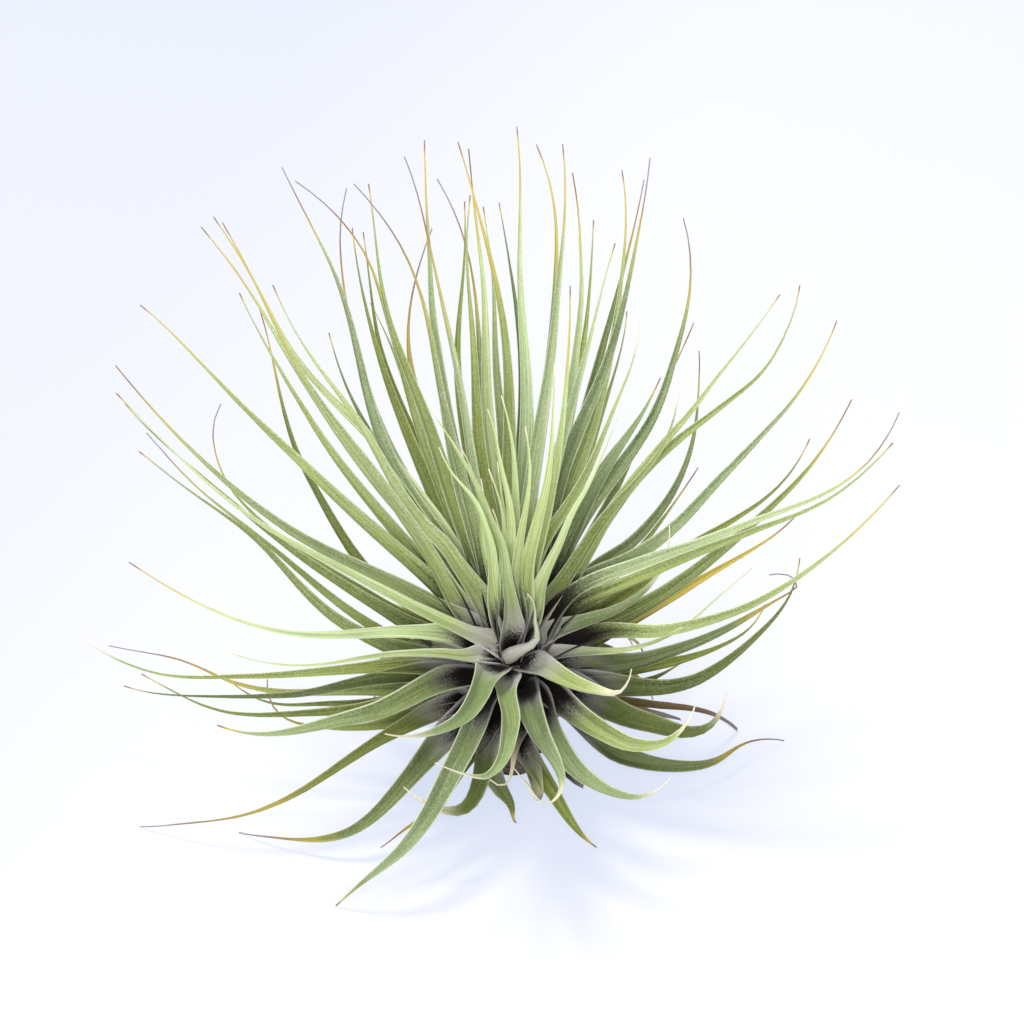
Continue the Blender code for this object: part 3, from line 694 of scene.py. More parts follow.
def blade_half(tree, size, run, left, share, sheath, neck):
    """Half the blade's width: a pinched root, the sheath, the taper and the dried hair."""
    lost = calc(tree, "POWER", share, named_field(tree, "power"))
    lost = times(tree, lost, named_field(tree, "lost"))
    taper = calc(tree, "POWER", calc(tree, "SUBTRACT", 1, lost), 2)
    half = times(tree, times(tree, named_field(tree, "width"), 0.5), taper)
    hair = times(tree, named_field(tree, "brown"), MM)
    hair_start = times_plus(tree, hair, HAIR_STARTS, MM)
    green = fade(tree, left, times(tree, hair, HAIR_FULL), hair_start)
    dried = calc(tree, "GREATER_THAN", hair, size["Least Hair"])
    thinner = times(tree, dried, -HAIR_THINNER)
    half = times(tree, half, times_plus(tree, calc(tree, "SUBTRACT", 1, green), thinner, 1))
    spread = times_plus(tree, size["Sheath Spread"], sheath, size["Tip Width"])
    half = times_plus(tree, spread, 0.5, half)
    pinch = fade(tree, run, times(tree, neck, NECK_NARROWEST), neck, size["Root Pinch"])
    return times(tree, half, pinch)


def held_by_line(tree, curve, size):
    """What each point of a leaf's line passes on to the section that is swept along it."""
    spline = put(tree, "GeometryNodeSplineParameter").outputs
    share, run = spline["Factor"], spline["Length"]
    total = put(tree, "GeometryNodeSplineLength").outputs["Length"]
    left = calc(tree, "SUBTRACT", total, run)
    neck = calc(tree, "MAXIMUM", named_field(tree, "neck"), LEAST_NECK)
    sheath = calc(tree, "MAXIMUM", calc(tree, "SUBTRACT", run, neck), 0)
    sheath = calc(tree, "DIVIDE", sheath, size["Sheath Length"])
    sheath = calc(tree, "EXPONENT", times(tree, times(tree, sheath, sheath), -1))
    thick = mixed(tree, share, size["Thickness"], size["Tip Thickness"])
    channel = mixed(tree, times(tree, share, share), size["Channel"], size["Tip Channel"])
    facts = (
        ("half", "FLOAT", blade_half(tree, size, run, left, share, sheath, neck)),
        ("thick", "FLOAT", mixed(tree, sheath, thick, size["Root Thickness"])),
        ("channel", "FLOAT", mixed(tree, sheath, channel, size["Root Channel"])),
        ("run", "FLOAT", run),
        ("left", "FLOAT", left),
        ("centre", "VECTOR", put(tree, "GeometryNodeInputPosition").outputs[0]),
        ("along", "VECTOR", put(tree, "GeometryNodeInputTangent").outputs[0]),
        ("upper", "VECTOR", named_field(tree, "upper", "FLOAT_VECTOR")),
    )
    held = put(tree, "GeometryNodeCaptureAttribute", {"Geometry": curve})
    for name, kind, value in facts:
        held.capture_items.new(kind, name)
        tree.links.new(value, held.inputs[name])
    return held.outputs


def blade_rise(tree, held, size, across, on_top):
    """How high a point stands off the centre line: channel, thickness, ridges and wavy margins."""
    squared = times(tree, across, across)
    dome = calc(tree, "SQRT", calc(tree, "MAXIMUM", calc(tree, "SUBTRACT", 1, squared), 0))
    side = times_plus(tree, on_top, 1, -0.5)
    rise = calc(tree, "POWER", calc(tree, "ABSOLUTE", across), MARGIN_CURL)
    rise = times(tree, times(tree, rise, held["channel"]), held["half"])
    rise = times_plus(tree, times(tree, dome, side), held["thick"], rise)
    ridge = times(tree, times(tree, across, size["Ridges"]), math.pi)
    ridge = times(tree, times(tree, calc(tree, "COSINE", ridge), dome), size["Ridge Height"])
    ridge = times(tree, ridge, calc(tree, "DIVIDE", held["half"], RIDGED_HALF))
    rise = calc(tree, "ADD", rise, ridge)
    hand = calc(tree, "SIGN", across)
    hand = put(tree, "ShaderNodeCombineXYZ", {0: hand, 1: hand, 2: hand}).outputs[0]
    wave = grain(tree, vector_calc(tree, "ADD", held["centre"], hand), size["Wave Scale"])
    wave = times(tree, calc(tree, "SUBTRACT", wave, 0.5), times(tree, squared, 2))
    return times_plus(tree, wave, size["Edge Wave"], rise)


def blade_place(tree, held, across, rise):
    """The point this far across the blade and this high above its centre line."""
    lift = vector_calc(tree, "DOT_PRODUCT", held["upper"], held["along"])
    upper = vector_calc(tree, "SCALE", held["along"], amount=lift)
    upper = vector_calc(tree, "NORMALIZE", vector_calc(tree, "SUBTRACT", held["upper"], upper))
    sideways = vector_calc(tree, "CROSS_PRODUCT", held["along"], upper)
    reach = vector_calc(tree, "SCALE", sideways, amount=times(tree, held["half"], across))
    place = vector_calc(tree, "ADD", held["centre"], reach)
    place = vector_calc(tree, "ADD", place, vector_calc(tree, "SCALE", upper, amount=rise))
    return vector_calc(tree, "MAXIMUM", place, (-1, -1, LOWEST_SKIN))


def blade_tree():
    """Sweeps a channelled blade along every line, its section placed point by point.

    The section runs over the top from one margin to the other and back underneath. Each point
    knows how far across it lies, from -1 to 1, and from that come channel, ridges and edge.
    """
    tree = bpy.data.node_groups.new("leaf blades", "GeometryNodeTree")
    size = blade_sizes(tree)
    tree.interface.new_socket("Blades", in_out="OUTPUT", socket_type="NodeSocketGeometry")
    curve = put(tree, "GeometryNodeMeshToCurve", {"Mesh": size["Lines"]}).outputs["Curve"]
    inputs = {"Curve": curve, "Length": size["Spacing"]}
    curve = put(tree, "GeometryNodeResampleCurve", inputs, mode="LENGTH").outputs["Curve"]
    held = held_by_line(tree, curve, size)

    turns = PROFILE_TOP + PROFILE_UNDER
    profile = put(tree, "GeometryNodeCurvePrimitiveCircle", {"Resolution": turns, "Radius": MM})
    station = put(tree, "GeometryNodeCaptureAttribute", {"Geometry": profile.outputs["Curve"]})
    station.capture_items.new("FLOAT", "station")
    tree.links.new(put(tree, "GeometryNodeInputIndex").outputs[0], station.inputs["station"])
    inputs = {
        "Curve": held["Geometry"],
        "Profile Curve": station.outputs["Geometry"],
        "Fill Caps": True,
    }
    blades = put(tree, "GeometryNodeCurveToMesh", inputs).outputs["Mesh"]

    station = station.outputs["station"]
    over = times_plus(tree, station, -2 / PROFILE_TOP, 1)
    below = calc(tree, "SUBTRACT", station, PROFILE_TOP)
    under = times_plus(tree, below, 2 / PROFILE_UNDER, -1)
    on_top = calc(tree, "LESS_THAN", station, PROFILE_TOP + 0.5)
    across = mixed(tree, on_top, under, over)
    rise = blade_rise(tree, held, size, across, on_top)
    inputs = {"Geometry": blades, "Position": blade_place(tree, held, across, rise)}
    blades = put(tree, "GeometryNodeSetPosition", inputs).outputs[0]
    for name, value in (
        ("across", across),
        ("top", on_top),
        ("run", calc(tree, "DIVIDE", held["run"], MM)),
        ("left", calc(tree, "DIVIDE", held["left"], MM)),
    ):
        inputs = {"Geometry": blades, "Name": name, "Value": value}
        blades = put(tree, "GeometryNodeStoreNamedAttribute", inputs, data_type="FLOAT").outputs[0]
    blades = put(tree, "GeometryNodeSetShadeSmooth", {"Geometry": blades}).outputs[0]
    blades = put(tree, "GeometryNodeRealizeInstances", {"Geometry": blades}).outputs[0]
    inputs = {"Geometry": blades, "Material": size["Finish"]}
    blades = put(tree, "GeometryNodeSetMaterial", inputs).outputs[0]
    put(tree, "NodeGroupOutput", {0: blades})
    return tree


def swept_blades(name, leaves, finish, sizes):
    """The blade tree run over the leaves' lines, as one plain mesh."""
    lines = bpy.data.objects.new(name + " lines", line_mesh(name + " lines", leaves))
    bpy.context.scene.collection.objects.link(lines)
    sweep = lines.modifiers.new("blades", "NODES")
    sweep.node_group = BLADES
    for socket in BLADES.interface.items_tree:
        if socket.in_out == "INPUT" and socket.name in sizes:
            sweep[socket.identifier] = sizes[socket.name]
        if socket.in_out == "INPUT" and socket.name == "Finish":
            sweep[socket.identifier] = finish
    graph = bpy.context.evaluated_depsgraph_get()
    mesh = bpy.data.meshes.new_from_object(lines.evaluated_get(graph))
    bpy.data.objects.remove(lines)
    return mesh


def ring_of_leaves(name, ring, leaves, finish, sizes, node):
    """A ring's blades and the sheath core that they spring from, as one piece for its CAD node."""
    shape = bmesh.new()
    shape.from_mesh(swept_blades(name, leaves, finish, sizes))
    bmesh.ops.recalc_face_normals(shape, faces=shape.faces)
    core = bmesh.ops.create_cone(
        shape,
        cap_ends=True,
        segments=CORE_SIDES,
        radius1=ring.foot_radius,
        radius2=ring.rim_radius,
        depth=ring.top - ring.bottom,
        matrix=Matrix.Translation(ring.middle) @ Matrix.Rotation(AXIS_LEAN, 4, "X"),
    )
    # The sheath core is painted all in shade.
    for vert in core["verts"]:
        vert[shape.verts.layers.float["top"]] = 1
        vert[shape.verts.layers.float["painted_shade_length"]] = LONGEST_SHADE
    mesh = bpy.data.meshes.new(name)
    shape.to_mesh(mesh)
    shape.free()
    piece = bpy.data.objects.new(name, mesh)
    piece.data.materials.append(finish)
    bpy.context.scene.collection.objects.link(piece)
    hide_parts(node)
    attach(piece, "root")


def reading(tree, name):
    made = put(tree, "ShaderNodeAttribute", attribute_name=name)
    return made.outputs["Fac"]


def painted(red, green, blue):
    """A colour as a paint chart gives it, from 0 to 255, in the linear light that Blender uses."""
    parts = []
    for part in (red, green, blue):
        part /= 255
        parts.append(part / 12.92 if part <= 0.04045 else ((part + 0.055) / 1.055) ** 2.4)
    return (*parts, 1)


LEAF_YELLOW = painted(176, 184, 62)
LEAF_COOL = painted(142, 160, 118)
LEAF_SILVER = painted(216, 222, 206)
TIP_COLORS = (
    ("gold", painted(200, 180, 88)),
    ("brown", painted(140, 100, 62)),
    ("grey", painted(150, 138, 142)),
    ("cream", painted(232, 224, 198)),
)
SHEATH_SILVER = painted(226, 222, 220)
SHEATH_GREY = painted(168, 160, 160)
# The colour of the painted shade at the leaf bases: near black, with a purple-brown cast.
BASE_SHADE_COLOR = painted(25, 16, 15)

# The grains of a leaf's skin: bands and fine strands drawn out along it, different on each leaf,
# wide mottling, and the specks of its silver scales.
BANDS = (1.6, 0.02)
STRANDS = (13.0, 0.05)
LEAVES_APART = 60
STREAK_DETAIL = 3
MOTTLE_SCALE = 110
SPECK_SCALE = 2300

# How light and how warm the green is. A fade runs from its first number to its second, and a
# share is how much of the change is laid on.
TONE_CURVE = 1.5
TONE_SHARE = 0.9
MOTTLE_SHARE = 0.24
BAND_FADE = (0.3, 0.7)
BAND_SHARE = 0.16
# Painted shade down the middle of the blade's channel.
GROOVE_SHADE_FADE = (0.3, 0)
GROOVE_SHADE = 0.2
COOL_TURNS = 31
GILT_TURNS = 7
TURN_FADE = (0.3, 1)
COOL_SHARE = 0.45
YELLOW_FADE = (55, 15)
YELLOW_SHARE = 0.35
WARM_SHARE = 0.4
STRAND_FADE = (0.36, 0.60)
STRAND_SHADE = 0.5

# The silver bloom and the pale margins, the lighter tip, and the base that turns deeper green and
# darker with painted shade toward the crown.
SILVER_FADE = (0.2, 1)
SILVER_MIDDLE = 0.55
SILVER_MARGIN = 0.45
SPECK_FADE = (0.38, 0.78)
BLOOM_DARK_LEAF = 0.5
BLOOM_BY_TONE = 0.8
UNDERSIDE_SHARE = 0.4
MARGIN_FADE = (0.84, 1)
MARGIN_SHARE = 0.7
TIP_LIGHT_FADE = (45, 5)
TIP_LIGHT_SHARE = 0.2
BASE_DEEP_AND_SHADE_FADE = (40, 8)

# The ragged ends of the dried tip, of the bare sheath and of the painted shade over its root.
FRAY_LEAST = 0.6
FRAY_BY_MOTTLE = 0.8
DRY_START = 1.25
DRY_FULL = 0.4
DRY_SHARE = 0.92
NO_LENGTH = 0.01
RAGGED_LEAST = 0.65
RAGGED_BY_BAND = 0.7
RAGGED_BY_SPECK = 9
SHEATH_FULL = 0.4
SHEATH_MIDDLE = 0.68
SHEATH_RIM = 0.3
SHEATH_RIM_FADE = (0.3, 0.9)
# Painted shade over the root: its fade, rims left lighter as if lit, and less of it underneath.
LEAST_SHADE = 0.1
SHADE_FULL = 0.5
LIT_RIM = 0.75
LIT_RIM_FADE = (0.7, 1)
LIT_SHADE_FADE = (30, 20)
SHADE_UNDERSIDE = 0.4

# The relief and the gloss of the skin.
RELIEF = 0.12 * MM
RELIEF_BUMP = 0.5
SPECK_RELIEF = 0.4
LEAST_ROUGH = 0.42
SPECK_ROUGH = 0.25
SKIN_GLOSS = {
    "Subsurface Weight": 0.05,
    "Subsurface Radius": (0.8, 1.0, 0.35),
    "Subsurface Scale": 0.8 * MM,
    "Specular IOR Level": 0.22,
    "Sheen Weight": 0.04,
    "Sheen Roughness": 0.45,
}


def streaks(tree, at, scales):
    """Noise drawn out along the blade, its own on every leaf."""
    across_scale, run_scale = scales
    spot = {
        0: times(tree, at["across"], across_scale),
        1: times(tree, at["run"], run_scale),
        2: times(tree, at["tone"], LEAVES_APART),
    }
    spot = put(tree, "ShaderNodeCombineXYZ", spot).outputs[0]
    return grain(tree, spot, 1, STREAK_DETAIL)


def green_tissue(tree, at, deep, light):
    """Green from deep to light, cooler or yellower by leaf, dark fine strands, painted shade in the
    groove.
    """
    mix = times(tree, at["mottle"], MOTTLE_SHARE)
    mix = times_plus(tree, calc(tree, "POWER", at["tone"], TONE_CURVE), TONE_SHARE, mix)
    mix = times_plus(tree, fade(tree, at["band"], *BAND_FADE), BAND_SHARE, mix)
    # Painted shade along the middle of the channel.
    painted_groove_shade = fade(tree, at["edge"], *GROOVE_SHADE_FADE)
    mix = times(tree, mix, times_plus(tree, painted_groove_shade, -GROOVE_SHADE, 1))
    color = blend(tree, mix, deep, light)
    cool = fade(tree, calc(tree, "FRACT", times(tree, at["tone"], COOL_TURNS)), *TURN_FADE)
    color = blend(tree, times(tree, cool, COOL_SHARE), color, LEAF_COOL)
    gilt = fade(tree, calc(tree, "FRACT", times(tree, at["tone"], GILT_TURNS)), *TURN_FADE)
    warm = times_plus(tree, fade(tree, at["run"], *YELLOW_FADE), YELLOW_SHARE, gilt)
    color = blend(tree, times(tree, warm, WARM_SHARE), color, LEAF_YELLOW)
    darker = blend(tree, STRAND_SHADE, color, deep)
    return blend(tree, fade(tree, at["strand"], *STRAND_FADE), darker, color)


def silvered(tree, at, color, bloom, margin):
    """Specks of silver, more toward the margins and underneath, and a pale line on each margin."""
    silver = fade(tree, at["edge"], *SILVER_FADE)
    silver = times_plus(tree, silver, SILVER_MARGIN, SILVER_MIDDLE)
    silver = times(tree, silver, fade(tree, at["speck"], *SPECK_FADE))
    amount = times_plus(tree, at["tone"], bloom * BLOOM_BY_TONE, bloom * BLOOM_DARK_LEAF)
    silver = times(tree, silver, amount)
    under = times(tree, calc(tree, "SUBTRACT", 1, at["top"]), UNDERSIDE_SHARE)
    color = blend(tree, calc(tree, "MAXIMUM", silver, under), color, LEAF_SILVER)
    pale = times(tree, fade(tree, at["edge"], *MARGIN_FADE), MARGIN_SHARE)
    return blend(tree, pale, color, margin)


def dried(tree, at, color):
    """The tip's last lengths turned golden, brown, grey or cream, as each leaf has dried."""
    fray = times_plus(tree, at["mottle"], FRAY_BY_MOTTLE, FRAY_LEAST)
    frayed = times(tree, at["left"], fray)
    for key, dry_color in TIP_COLORS:
        length = calc(tree, "MAXIMUM", reading(tree, key), NO_LENGTH)
        start, full = times(tree, length, DRY_START), times(tree, length, DRY_FULL)
        turned = times(tree, fade(tree, frayed, start, full), DRY_SHARE)
        color = blend(tree, turned, color, dry_color)
    return color


def sheathed(tree, at, color, sheath_reach):
    """The bare sheath in silvery grey, and painted shade over its root, whose rims stay lighter as if
    lit.
    """
    ragged = times(tree, at["run"], times_plus(tree, at["band"], RAGGED_BY_BAND, RAGGED_LEAST))
    speckled = calc(tree, "SUBTRACT", at["speck"], 0.5)
    ragged = times_plus(tree, speckled, RAGGED_BY_SPECK, ragged)
    rim = times_plus(tree, fade(tree, at["edge"], *SHEATH_RIM_FADE), SHEATH_RIM, SHEATH_MIDDLE)
    pale = times(tree, fade(tree, ragged, sheath_reach, sheath_reach * SHEATH_FULL), rim)
    color = blend(tree, pale, color, blend(tree, at["speck"], SHEATH_GREY, SHEATH_SILVER))
    # Painted shade over the root, ragged, lighter on the rims as if lit and weaker underneath.
    painted_shade_length = calc(tree, "MAXIMUM", reading(tree, "painted_shade_length"), LEAST_SHADE)
    rims = fade(tree, at["edge"], *LIT_RIM_FADE)
    rims = times(tree, rims, fade(tree, painted_shade_length, *LIT_SHADE_FADE))
    inner = times_plus(tree, rims, -LIT_RIM, 1)
    top_share = times_plus(tree, at["top"], 1 - SHADE_UNDERSIDE, SHADE_UNDERSIDE)
    inner = times(tree, inner, top_share)
    shade_amount = fade(tree, ragged, painted_shade_length, times(tree, painted_shade_length, SHADE_FULL))
    return blend(tree, times(tree, shade_amount, inner), color, BASE_SHADE_COLOR)


def leaf_finish(name, deep, light, margin, bloom, sheath_reach, base_deep_and_shade):
    """Leaf tissue: fine lengthwise strands, a speckled silver bloom, pale margins and dry tips.

    The blade's own readings place them: how far across, how far from the root and from the tip
    in millimetres, the leaf's tone, and the lengths of its golden, brown, grey and cream tip.
    """
    made = bpy.data.materials.new(name)
    made.use_nodes = True
    tree = made.node_tree
    at = {key: reading(tree, key) for key in ("across", "run", "left", "tone", "top")}
    place = put(tree, "ShaderNodeTexCoord").outputs["Object"]
    at["edge"] = calc(tree, "ABSOLUTE", at["across"])
    at["band"] = streaks(tree, at, BANDS)
    at["strand"] = streaks(tree, at, STRANDS)
    at["mottle"] = grain(tree, place, MOTTLE_SCALE)
    at["speck"] = grain(tree, place, SPECK_SCALE)

    color = silvered(tree, at, green_tissue(tree, at, deep, light), bloom, margin)
    lighter = times(tree, fade(tree, at["left"], *TIP_LIGHT_FADE), TIP_LIGHT_SHARE)
    color = blend(tree, lighter, color, light)
    # Darker toward the base: partly the leaf's deeper green, partly painted shade in the crown.
    base_deep_and_shaded = times(tree, fade(tree, at["run"], *BASE_DEEP_AND_SHADE_FADE), base_deep_and_shade)
    color = blend(tree, base_deep_and_shaded, color, deep)
    color = sheathed(tree, at, dried(tree, at, color), sheath_reach)

    height = times_plus(tree, at["speck"], SPECK_RELIEF, at["strand"])
    inputs = {"Strength": RELIEF_BUMP, "Distance": RELIEF, "Height": height}
    bump = put(tree, "ShaderNodeBump", inputs)
    rough = times_plus(tree, at["speck"], SPECK_ROUGH, LEAST_ROUGH)
    shader = tree.nodes["Principled BSDF"]
    tree.links.new(color, shader.inputs["Base Color"])
    tree.links.new(bump.outputs[0], shader.inputs["Normal"])
    tree.links.new(rough, shader.inputs["Roughness"])
    for key, value in SKIN_GLOSS.items():
        shader.inputs[key].default_value = value
    return made


BLADES = blade_tree()
DRY_LEAF = {
    "deep": painted(96, 66, 42),
    "light": painted(150, 112, 72),
    "margin": painted(170, 140, 100),
    "bloom": 0.35,
    "sheath_reach": 8,
    "base_deep_and_shade": 0.5,
}
DRY_SIZES = {
    "Thickness": 0.4 * MM,
    "Channel": 0.5,
    "Edge Wave": 0.6 * MM,
    "Sheath Spread": 1 * MM,
}
draw = random.Random(DEAD_SEED)
dead_leaves = listed_leaves(DEAD_SHEATHS, DEAD_LEAVES, draw)
for side, lean, length in DEAD_BACK_LEAVES:
    angles = math.radians(side), math.radians(lean)
    points, start = hidden_points(DEAD_SHEATHS, *angles, length * MM, 0)
    facts = (DEAD_BACK_WIDTH * MM, *FINE, draw.random(), LONGEST_SHADE, 0, *STRAW)
    dead_leaves.append((leaf_line(points, start, draw), facts))
for turn in range(SHEATH_SCRAPS):
    side = (turn * GOLDEN_ANGLE) % math.tau
    lean = math.radians(draw.uniform(*SCRAP_LEANS))
    length = draw.uniform(*SCRAP_LENGTHS) * MM
    height = turn / SHEATH_SCRAPS * SCRAP_CLIMB + SCRAP_LOWEST
    points, start = hidden_points(DEAD_SHEATHS, side, lean, length, height)
    facts = (SCRAP_WIDTH * MM, *FULL, draw.random(), LONGEST_SHADE, 0, *STRAW)
    dead_leaves.append((leaf_line(points, start, draw), facts))
ring_of_leaves(
    "dead_leaves_dry", DEAD_SHEATHS, dead_leaves, leaf_finish("dry leaf", **DRY_LEAF), DRY_SIZES,
    "dead_leaves",
)


# The outer leaves. The oldest living leaves, broad, dark and low, which arch out to all sides and
# down to the table, some of them curled, scorched or dying back from the tip.

# How the living leaves' tips have dried, in the same four lengths.
GREEN = (6, 2, 0, 0)
GOLD = (22, 3, 1, 0)
ORANGE = (24, 11, 0, 0)
HAIR = (24, 16, 9, 0)
DRY = (40, 28, 14, 0)
BROWN = (14, 9, 2, 0)
SCORCHED = (6, 3, 1, 0)
PALE = (0, 0, 0, 9)
CREAM = (4, 0, 0, 14)
DYING = (70, 8, 4, 0)
DRY_END = (0, 22, 0, 18)
OUTER_LEAVES = (
    (((-36.5, 97), (-33, 80), (-27, 58)), 66, 4.4, FINE, GREEN),
    (((-34, 96), (-31, 75), (-25, 56)), 71, 4.0, FINE, GREEN),
    (((-32, 80), (-28, 70), (-20, 48)), 84, 4.2, FINE, GREEN),
    (((-58, 80), (-52, 57), (-47, 42), (-34, 20)), 68, 3.1, FINE, ORANGE),
    (((-42, 73), (-35, 56), (-24, 34)), 80, 4.4, FINE, GREEN),
    (((-11, 103), (-10.5, 92), (-12, 62)), 66, 4.2, FINE, GREEN),
    (((-2.5, 103), (0, 87), (2, 60)), 69, 4.2, FINE, GREEN),
    (((19, 99), (18.3, 88), (14, 60)), 67, 4.4, FINE, GREEN),
    (((30, 108), (27, 92), (18, 60)), 65, 4.4, FINE, HAIR),
    (((25.7, 78), (22.5, 60), (15, 38)), 81, 4.4, FINE, GREEN),
    (((41, 75.5), (38.5, 70), (28, 46)), 80, 3.2, FINE, BROWN),
    (
        ((42.3, 69), (42.9, 61), (42.3, 53), (40, 44.7), (34.7, 33.7), (27.9, 25.2), (17.3, 17.5)),
        73, 4.2, FINE, BROWN,
    ),
    (((42.3, 42.5), (37, 34), (22, 16)), 94, 3.4, FINE, BROWN),
    (
        ((77.5, 58), (68, 43.5), (56.3, 31), (46.1, 21.8), (35.5, 13.7), (24.9, 7.8), (17, 4.5)),
        75, 4.6, FINE, ORANGE,
    ),
    (((68, 49), (60, 38), (35, 20)), 84, 4.2, FINE, GREEN),
    (((64.8, 32.5), (58, 26), (40, 15), (20, 3)), 82, 4.0, FINE, DYING),
    (((65.5, 22), (60, 9), (42, -6), (18, -8)), 75, 4.8, FINE, GREEN),
    (((58.5, 17.5), (65, 16.5), (60, 12), (30, -2)), 80, 4.4, FINE, HAIR),
    (((57, 11.5), (51, 3.5), (22, -5)), 88, 4.4, FINE, GREEN),
    (((40, -1.5), (30, -6), (16, -10)), 96, 4.2, FINE, GREEN),
    (((49.2, -8), (44.5, -16.5), (30, -16), (12, -9)), 76, 6.0, FULL, PALE),
    (((62, -20), (53, -20), (43, -24.5), (25, -23)), FLOOR, 4.8, FINE, HAIR),
    (
        ((19.2, -43.8), (15.5, -39.6), (12.2, -35.6), (8.9, -30.9), (5.5, -25.9), (2.2, -19)),
        FLOOR, 4.0, FULL, SCORCHED,
    ),
    (
        ((0.5, -26), (3, -29.8), (5.6, -33.4), (4.9, -29), (2.9, -23.5), (1.3, -17)),
        74, 4.6, FULL, CREAM,
    ),
    (((1.4, -38), (-0.8, -33.3), (-2.8, -28.3), (-4.8, -22)), FLOOR, 3.6, FULL, SCORCHED),
    (
        ((-24.8, -30.1), (-22.2, -32.8), (-17, -35.2), (-11.8, -35), (-8.8, -31.4), (-7.2, -26.5),
         (-6.2, -20), (-5.4, -13)),
        76, 4.8, FULL, CREAM,
    ),
    (((-5.1, -28.6), (-2.2, -29.4), (0, -25.4), (1.3, -20), (1.6, -15)), 74, 3.0, FULL, DRY_END),
    (((-30, -43.5), (-21, -38), (-10, -24)), 88, 4.4, FINE, BROWN),
    (((-62, -40.3), (-47, -42), (-34, -38.5), (-14, -18)), FLOOR, 5.0, FINE, HAIR),
    (((-84.5, -39), (-65, -37.5), (-50, -32), (-22, -16)), FLOOR, 4.4, SLIM, DRY),
    (((-55, -5.5), (-52.5, -13.5), (-42, -17), (-20, -14)), 92, 4.0, SLIM, BROWN),
    (((-84.5, -4.7), (-70, -11.5), (-50, -14), (-20, -11)), 84, 4.8, SLIM, GREEN),
    (((-88, -6.5), (-70, -10), (-50, -9), (-18, -6)), 76, 5.2, SLIM, GREEN),
    (((-66.5, -5), (-55, -10.5), (-24, -11)), 98, 4.4, SLIM, GREEN),
    (((-91.5, 2.5), (-78, -0.5), (-62, -7), (-25, -9)), 90, 4.2, SLIM, DRY),
    (((-98, 4), (-80, -4), (-60, -5.5), (-20, -4)), 73, 4.8, SLIM, PALE),
    (((-85, 46), (-62, 29), (-40, 8), (-18, -3)), 76, 5.0, SLIM, GREEN),
    (((-83.5, 50), (-73, 40), (-50, 20), (-22, 0)), 86, 3.7, SLIM, HAIR),
    (((-87.5, 57.5), (-80, 49), (-55, 27), (-22, 5)), 73, 4.6, SLIM, GREEN),
    (((-66, 57), (-67.5, 50), (-62, 35), (-30, 12)), 80, 3.3, SLIM, HAIR),
)

# The leaves behind, out of the eye's sight, one golden angle apart round the stem. Those at the
# two sides of the back hang lower and are shorter, so that they stay out of sight too.
BACK_LEAVES = 24
BACK_SEED = 7
BACK_SIDES = (8, 172)
BACK_LEANS = (72, 112)
BACK_LENGTHS = (62, 84)
BACK_WIDTH = 5.2
BACK_SPAN = math.radians(30)
BACK_LOWEST = 112
BACK_SHORTER = 0.5
OUTER_SHEATHS = Ring(
    bottom=-18.3,
    top=-10.1,
    foot_radius=7.4,
    rim_radius=8.6,
    root_radius=6.0,
    root_lean=50,
)
OUTER_SEED = 12
# Darker than the younger leaves: partly the colour of old leaves, partly painted shade in the gaps.
OLD_AND_SHADED_LEAF = {
    "deep": painted(26, 42, 8),
    "light": painted(162, 176, 96),
    "margin": painted(216, 218, 164),
    "bloom": 0.4,
    "sheath_reach": 22,
    "base_deep_and_shade": 0.5,
}


def back_leaves(ring, draw):
    """The leaves that hide at the back, one golden angle apart, arching out and a little down."""
    shapes = random.Random(BACK_SEED)
    first, last = (math.radians(side) for side in BACK_SIDES)
    made = []
    turn = 0
    while len(made) < BACK_LEAVES:
        turn += 1
        side = (turn * GOLDEN_ANGLE) % math.tau
        if first < side < last:
            beside = min(abs(side - math.pi / 2) / BACK_SPAN, 1)
            lean = shapes.uniform(*BACK_LEANS)
            lean = math.radians(lean + (BACK_LOWEST - lean) * beside)
            length = shapes.uniform(*BACK_LENGTHS) * (1 - BACK_SHORTER * beside) * MM
            points, start = hidden_points(ring, side, lean, length, shapes.random())
            tip = draw.choice((GREEN, GOLD, BROWN))
            facts = (BACK_WIDTH * MM, *FINE, draw.random(), LONGEST_SHADE, 0, *tip)
            made.append((leaf_line(points, start, draw), facts))
    return made


draw = random.Random(OUTER_SEED)
outer_leaves = listed_leaves(OUTER_SHEATHS, OUTER_LEAVES, draw) + back_leaves(OUTER_SHEATHS, draw)
ring_of_leaves(
    "outer_leaves_green", OUTER_SHEATHS, outer_leaves, leaf_finish("old leaf", **OLD_AND_SHADED_LEAF), {},
    "outer_leaves",
)


